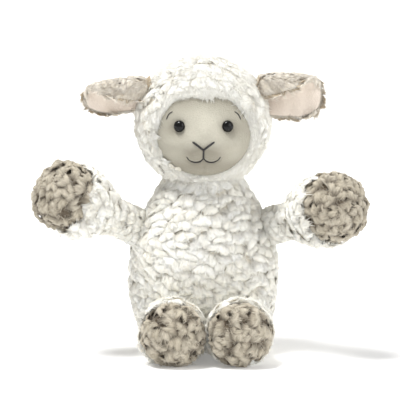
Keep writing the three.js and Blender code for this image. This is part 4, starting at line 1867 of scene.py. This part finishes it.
@dataclass
class Limb:
    """An arm, leg or tail: a stuffed club that starts as a ball and ends in a cap.

    Its name is its body's too. The white pile thins out over the cuff's fade. The beige pile
    starts at the cuff's rim, and leaves at least the bare stretch past the seam. Both parts are
    closed inside the limb by a few rings, which the cuff's end and the cap's start give as steps
    in radius and along the limb, from the white part's last ring and the beige part's first.
    """

    name: str
    root: np.ndarray
    axis: np.ndarray
    root_radius: float
    length: float
    end_radius: float
    seam: float
    seam_radius: float
    upper_shares: Pairs
    end_shares: Pairs
    upper_pile: Pile
    end_pile: Pile = BEIGE_PILE
    cuff: float = 2.4
    cuff_reach: float = 15.0
    cuff_fade: float = 3.0
    overhang: float = 1.5
    end_tuck: float = 1.2
    end_tuck_reach: float = 16.0
    end_bare: float = 4.0
    end_fade: float = 2.5
    cuff_end: Pairs = ((-0.9, 1.1), (-2.6, 1.3), (-5.0, 0.2), (-8.5, -2.0))
    cap_start: Pairs = ((-8.0, -3.0), (-4.0, -1.6), (-1.5, -0.8))
    pole_angle: float = 0.1
    tip_radius: float = 0.4
    spacing: float = 1.8
    sag: float = 0.35
    floor: float | None = None

    def outline(self) -> np.ndarray:
        """Radius and place along the axis, from the root's pole to the tip.

        Returns:
            A radius and a place a row.
        """
        polar = np.linspace(self.pole_angle, math.pi / 2, 8)[:-1]
        ball = np.stack([self.root_radius * np.sin(polar), -self.root_radius * np.cos(polar)], axis=1)
        size = (self.end_radius, self.length)
        upper = np.array(self.upper_shares) * size
        end = np.array(self.end_shares) * size
        seam = [(self.seam_radius, self.seam)]
        start = [(self.root_radius, 0)]
        tip = [(self.tip_radius, self.length)]
        run = spline(np.vstack([start, upper, seam, end, tip]), steps=160)
        return even(np.vstack([ball, run]), self.spacing)

    def turned(self, outline: np.ndarray) -> Shell:
        """The outline turned about the limb's axis.

        A point of radius r and place s at turn t lies at root + s axis + r (cos t, sin t) in
        the plane square to the axis.

        Args:
            outline: a radius and a place along the axis a row.

        Returns:
            The surface.
        """
        side = unit(np.cross(self.axis, (0.0, 0.0, 1.0)))
        up = np.cross(side, self.axis)
        columns = int(TAU * self.end_radius / self.spacing)
        turn = np.linspace(0, TAU, columns, endpoint=False)
        ring = np.cos(turn)[:, None] * side + np.sin(turn)[:, None] * up
        points = self.root + outline[:, :1, None] * ring + (outline[:, 1:] * self.axis)[:, None]
        return Shell(points)

    def guide(self, shell: Shell) -> np.ndarray:
        """The pile's direction: along the limb, sagging a little.

        Args:
            shell: the surface that the pile lies on.

        Returns:
            A direction at each point.
        """
        guide = np.broadcast_to(self.axis, shell.points.shape).copy()
        guide[..., 2] -= self.sag
        return guide

    def build_upper(self, wardrobe: Wardrobe, node: str, rng: np.random.Generator) -> None:
        """Makes the white part, up to just past the seam, with a rolled and closed end.

        Args:
            wardrobe: the finishes.
            node: the frame's node that it replaces.
            rng: the source of random numbers.
        """
        outline = self.outline()
        kept = outline[outline[:, 1] < self.seam + self.overhang]
        swell = smoothstep(self.seam - self.cuff_reach, self.seam - self.cuff_fade, kept[:, 1:])
        kept = kept + self.cuff * swell * (1, 0)
        shell = self.turned(np.vstack([kept, kept[-1] + np.array(self.cuff_end)]))
        place = (shell.points - self.root) @ self.axis
        rim = self.seam + self.overhang
        strength = smoothstep(rim, rim - self.cuff_fade, place)
        Plush(
            f"{self.name}_plush",
            shell,
            self.guide(shell),
            self.upper_pile,
            wardrobe.WHITE,
            self.name,
            (node,),
            floor=self.floor,
            strength=strength,
        ).build(wardrobe, rng)

    def build_end(self, wardrobe: Wardrobe, name: str, node: str, rng: np.random.Generator) -> None:
        """Makes the beige cap, from inside the white part to the tip, drawn in at the seam.

        Args:
            wardrobe: the finishes.
            name: the piece's name.
            node: the frame's node that it replaces.
            rng: the source of random numbers.
        """
        outline = self.outline()
        kept = outline[outline[:, 1] > self.seam]
        tuck = self.end_tuck * smoothstep(self.seam + self.end_tuck_reach, self.seam, kept[:, 1:])
        kept = kept - tuck * (1, 0)
        shell = self.turned(np.vstack([kept[0] + np.array(self.cap_start), kept]))
        guide = np.cross(shell.normals(), self.axis) + 0.5 * self.guide(shell)
        place = (shell.points - self.root) @ self.axis
        start = self.seam + max(self.overhang, self.end_bare)
        strength = smoothstep(start, start + self.end_fade, place)
        Plush(
            name,
            shell,
            guide,
            self.end_pile,
            wardrobe.BEIGE,
            self.name,
            (node,),
            floor=self.floor,
            strength=strength,
        ).build(wardrobe, rng)


def make_arm(side: Side, wardrobe: Wardrobe, rng: np.random.Generator) -> None:
    """Makes one arm with its paw, held out, forwards and up.

    Args:
        side: which arm.
        wardrobe: the finishes.
        rng: the source of random numbers.
    """
    forward_deg, up_deg = (25.0, 25.0) if side is Side.LEFT else (40.0, 19.0)
    forward, up = math.radians(forward_deg), math.radians(up_deg)
    axis = np.array([
        side.hand * math.cos(up) * math.cos(forward),
        -math.cos(up) * math.sin(forward),
        math.sin(up),
    ])
    arm = Limb(
        name=f"arm_{side.value}",
        root=np.array([side.hand * 61.0, -8.0, 112.0]),
        axis=axis,
        root_radius=15.0,
        length=102.0,
        end_radius=30.5,
        seam=56.0,
        seam_radius=27.5,
        upper_shares=((0.5, 0.13), (0.5, 0.2), (0.58, 0.29), (0.74, 0.375), (0.85, 0.46)),
        end_shares=((0.96, 0.63), (1, 0.77), (0.96, 0.86), (0.79, 0.935), (0.43, 0.985)),
        upper_pile=Pile(turn_deg=40),
        overhang=8.0,
    )
    arm.build_upper(wardrobe, f"arm_cover_{side.value}", rng)
    arm.build_end(wardrobe, f"paw_{side.value}_plush", f"paw_{side.value}", rng)


def make_leg(side: Side, wardrobe: Wardrobe, rng: np.random.Generator) -> None:
    """Makes one leg with its foot, laid forwards on the floor.

    Args:
        side: which leg.
        wardrobe: the finishes.
        rng: the source of random numbers.
    """
    out = math.radians(-4.0 if side is Side.LEFT else 5.0)
    leg = Limb(
        name=f"leg_{side.value}",
        root=np.array([side.hand * 29.4, -55.0, 28.0]),
        axis=np.array([side.hand * math.sin(out), -math.cos(out), 0.0]),
        root_radius=25.0,
        length=57.0,
        end_radius=28.5,
        seam=26.0,
        seam_radius=28.0,
        upper_shares=((0.9, 0.14), (0.94, 0.3)),
        end_shares=((1, 0.6), (0.95, 0.74), (0.76, 0.88), (0.42, 0.97)),
        upper_pile=Pile(turn_deg=45, length=7.6, tip_rise=0.5, tip_curl=0.4),
        cuff=1.8,
        overhang=3.5,
        end_tuck=0.6,
        floor=0.0,
    )
    leg.build_upper(wardrobe, f"leg_cover_{side.value}", rng)
    leg.build_end(wardrobe, f"foot_{side.value}_plush", f"foot_{side.value}", rng)


def make_tail(wardrobe: Wardrobe, rng: np.random.Generator) -> None:
    """Makes the short tail at the back.

    Args:
        wardrobe: the finishes.
        rng: the source of random numbers.
    """
    tail = Limb(
        name="tail",
        root=np.array([0.0, 56.0, 46.0]),
        axis=unit(np.array([0.0, 0.8, -1.0])),
        root_radius=7.0,
        length=34.0,
        end_radius=9.0,
        seam=14.0,
        seam_radius=9.0,
        upper_shares=((0.66, 0.12), (0.78, 0.26)),
        end_shares=((0.86, 0.74), (0.46, 0.94)),
        upper_pile=Pile(spacing=6.0, length=6.6, width=5.4, thickness=2.4, root_sink=2.0),
        spacing=0.9,
    )
    shell = tail.turned(tail.outline())
    Plush(
        "tail_plush",
        shell,
        tail.guide(shell),
        tail.upper_pile,
        wardrobe.WHITE,
        "tail",
        ("tail",),
    ).build(wardrobe, rng)


# Studio


@dataclass(frozen=True)
class Lamp:
    """A distant lamp: its strength, how wide it is, and where it stands."""

    name: str
    strength: float
    spread_deg: float
    turn_deg: float
    height_deg: float


@dataclass
class Studio:
    """A plain pale floor, a steep lamp, a low one from the right, and the photograph's camera."""

    elevation_deg: float = 9.5
    distance: float = 6.0
    pixel_mm: float = 0.9
    image_px: int = 400
    origin_px: tuple[float, float] = (203.5, 347.5)
    sensor_mm: float = 36.0
    view_reach: float = 20.0
    room_strength: float = 0.42
    lamps: tuple[Lamp, ...] = (
        Lamp("key", strength=4.0, spread_deg=22, turn_deg=-80, height_deg=71),
        Lamp("side", strength=1.4, spread_deg=50, turn_deg=62, height_deg=25),
    )
    table_glow: float = 0.15
    floor_half_mm: float = 12000.0
    floor_white: float = 0.93

    def camera(self) -> None:
        """Sets the camera: level, in front, looking down a little, with a long lens."""
        elevation = math.radians(self.elevation_deg)
        half = self.image_px / 2
        across = (half - self.origin_px[0]) * self.pixel_mm * MM
        up = (self.origin_px[1] - half) * self.pixel_mm * MM
        data = bpy.data.cameras.new("camera")
        data.sensor_width = self.sensor_mm
        data.lens = self.sensor_mm * self.distance / (self.image_px * self.pixel_mm * MM)
        data.clip_end = self.view_reach
        camera = bpy.data.objects.new("camera", data)
        bpy.context.scene.collection.objects.link(camera)
        camera.location = (
            across,
            -self.distance * math.cos(elevation),
            up / math.cos(elevation) + self.distance * math.sin(elevation),
        )
        camera.rotation_euler = (math.pi / 2 - elevation, 0, 0)
        bpy.context.scene.camera = camera

    def lights(self) -> None:
        """Sets the lamps, each pointed at the toy from its turn and height."""
        for lamp in self.lamps:
            data = bpy.data.lights.new(lamp.name, "SUN")
            data.energy = lamp.strength
            data.angle = math.radians(lamp.spread_deg)
            made = bpy.data.objects.new(lamp.name, data)
            bpy.context.scene.collection.objects.link(made)
            made.rotation_euler = (
                math.radians(90 - lamp.height_deg), 0, math.radians(lamp.turn_deg)
            )

    def room(self) -> None:
        """Sets the even light of a white room."""
        world = bpy.data.worlds.new("white_room")
        world.use_nodes = True
        background = world.node_tree.nodes["Background"]
        background.inputs["Color"].default_value = (1, 1, 1, 1)
        background.inputs["Strength"].default_value = self.room_strength
        bpy.context.scene.world = world
        bpy.context.scene.view_settings.view_transform = "Standard"

    def floor(self) -> None:
        """Makes the plain pale floor, a table lit a little from below."""
        half = self.floor_half_mm
        corners = np.array([(-half, -half, 0), (half, -half, 0), (half, half, 0), (-half, half, 0)])
        floor = make_object("floor", corners, [np.array([[0, 1, 2, 3]])], smooth=False)
        pale = bpy.data.materials.new("pale_floor")
        pale.use_nodes = True
        shader = pale.node_tree.nodes["Principled BSDF"]
        shader.inputs["Base Color"].default_value = (self.floor_white,) * 3 + (1,)
        shader.inputs["Roughness"].default_value = 0.9
        shader.inputs["Specular IOR Level"].default_value = 0.0
        shader.inputs["Emission Color"].default_value = (1, 1, 1, 1)
        shader.inputs["Emission Strength"].default_value = self.table_glow
        floor.data.materials.append(pale)

    def build(self) -> None:
        """Makes the floor, the lights and the camera."""
        self.room()
        self.floor()
        self.lights()
        self.camera()


def dress_inside(wardrobe: Wardrobe) -> None:
    """Gives the frame's own inner pieces their finishes.

    Args:
        wardrobe: the finishes.
    """
    inner = {"filling": wardrobe.FIBRE, "washer": wardrobe.PLASTIC, "pellet": wardrobe.PELLETS}
    for name, piece in frame["nodes"].items():
        for word, finish in inner.items():
            if word in name:
                wardrobe.dress(piece, finish)


def main() -> None:
    """Builds the toy and its studio."""
    logging.basicConfig(level=logging.INFO, format="%(name)s: %(message)s")
    rng = np.random.default_rng(SEED)
    Studio().build()
    wardrobe = Wardrobe()
    dress_inside(wardrobe)
    Torso().build(wardrobe, rng)
    head = HeadForm()
    Hood(head).build(wardrobe, rng)
    face = Face(head)
    face.build(wardrobe)
    for side in Side:
        Eye(face, side).build(wardrobe)
    Embroidery(face).build(wardrobe)
    left = Ear(
        head, Side.LEFT, open_deg=-22, droop_deg=12, tip_drop=5.0, tip_taper=0.25, lower_trim=0.22
    )
    left.build(wardrobe, rng)
    Ear(head, Side.RIGHT, open_deg=-10, droop_deg=6).build(wardrobe, rng)
    for side in Side:
        make_arm(side, wardrobe, rng)
        make_leg(side, wardrobe, rng)
    make_tail(wardrobe, rng)


if __name__ == "__main__":
    main()
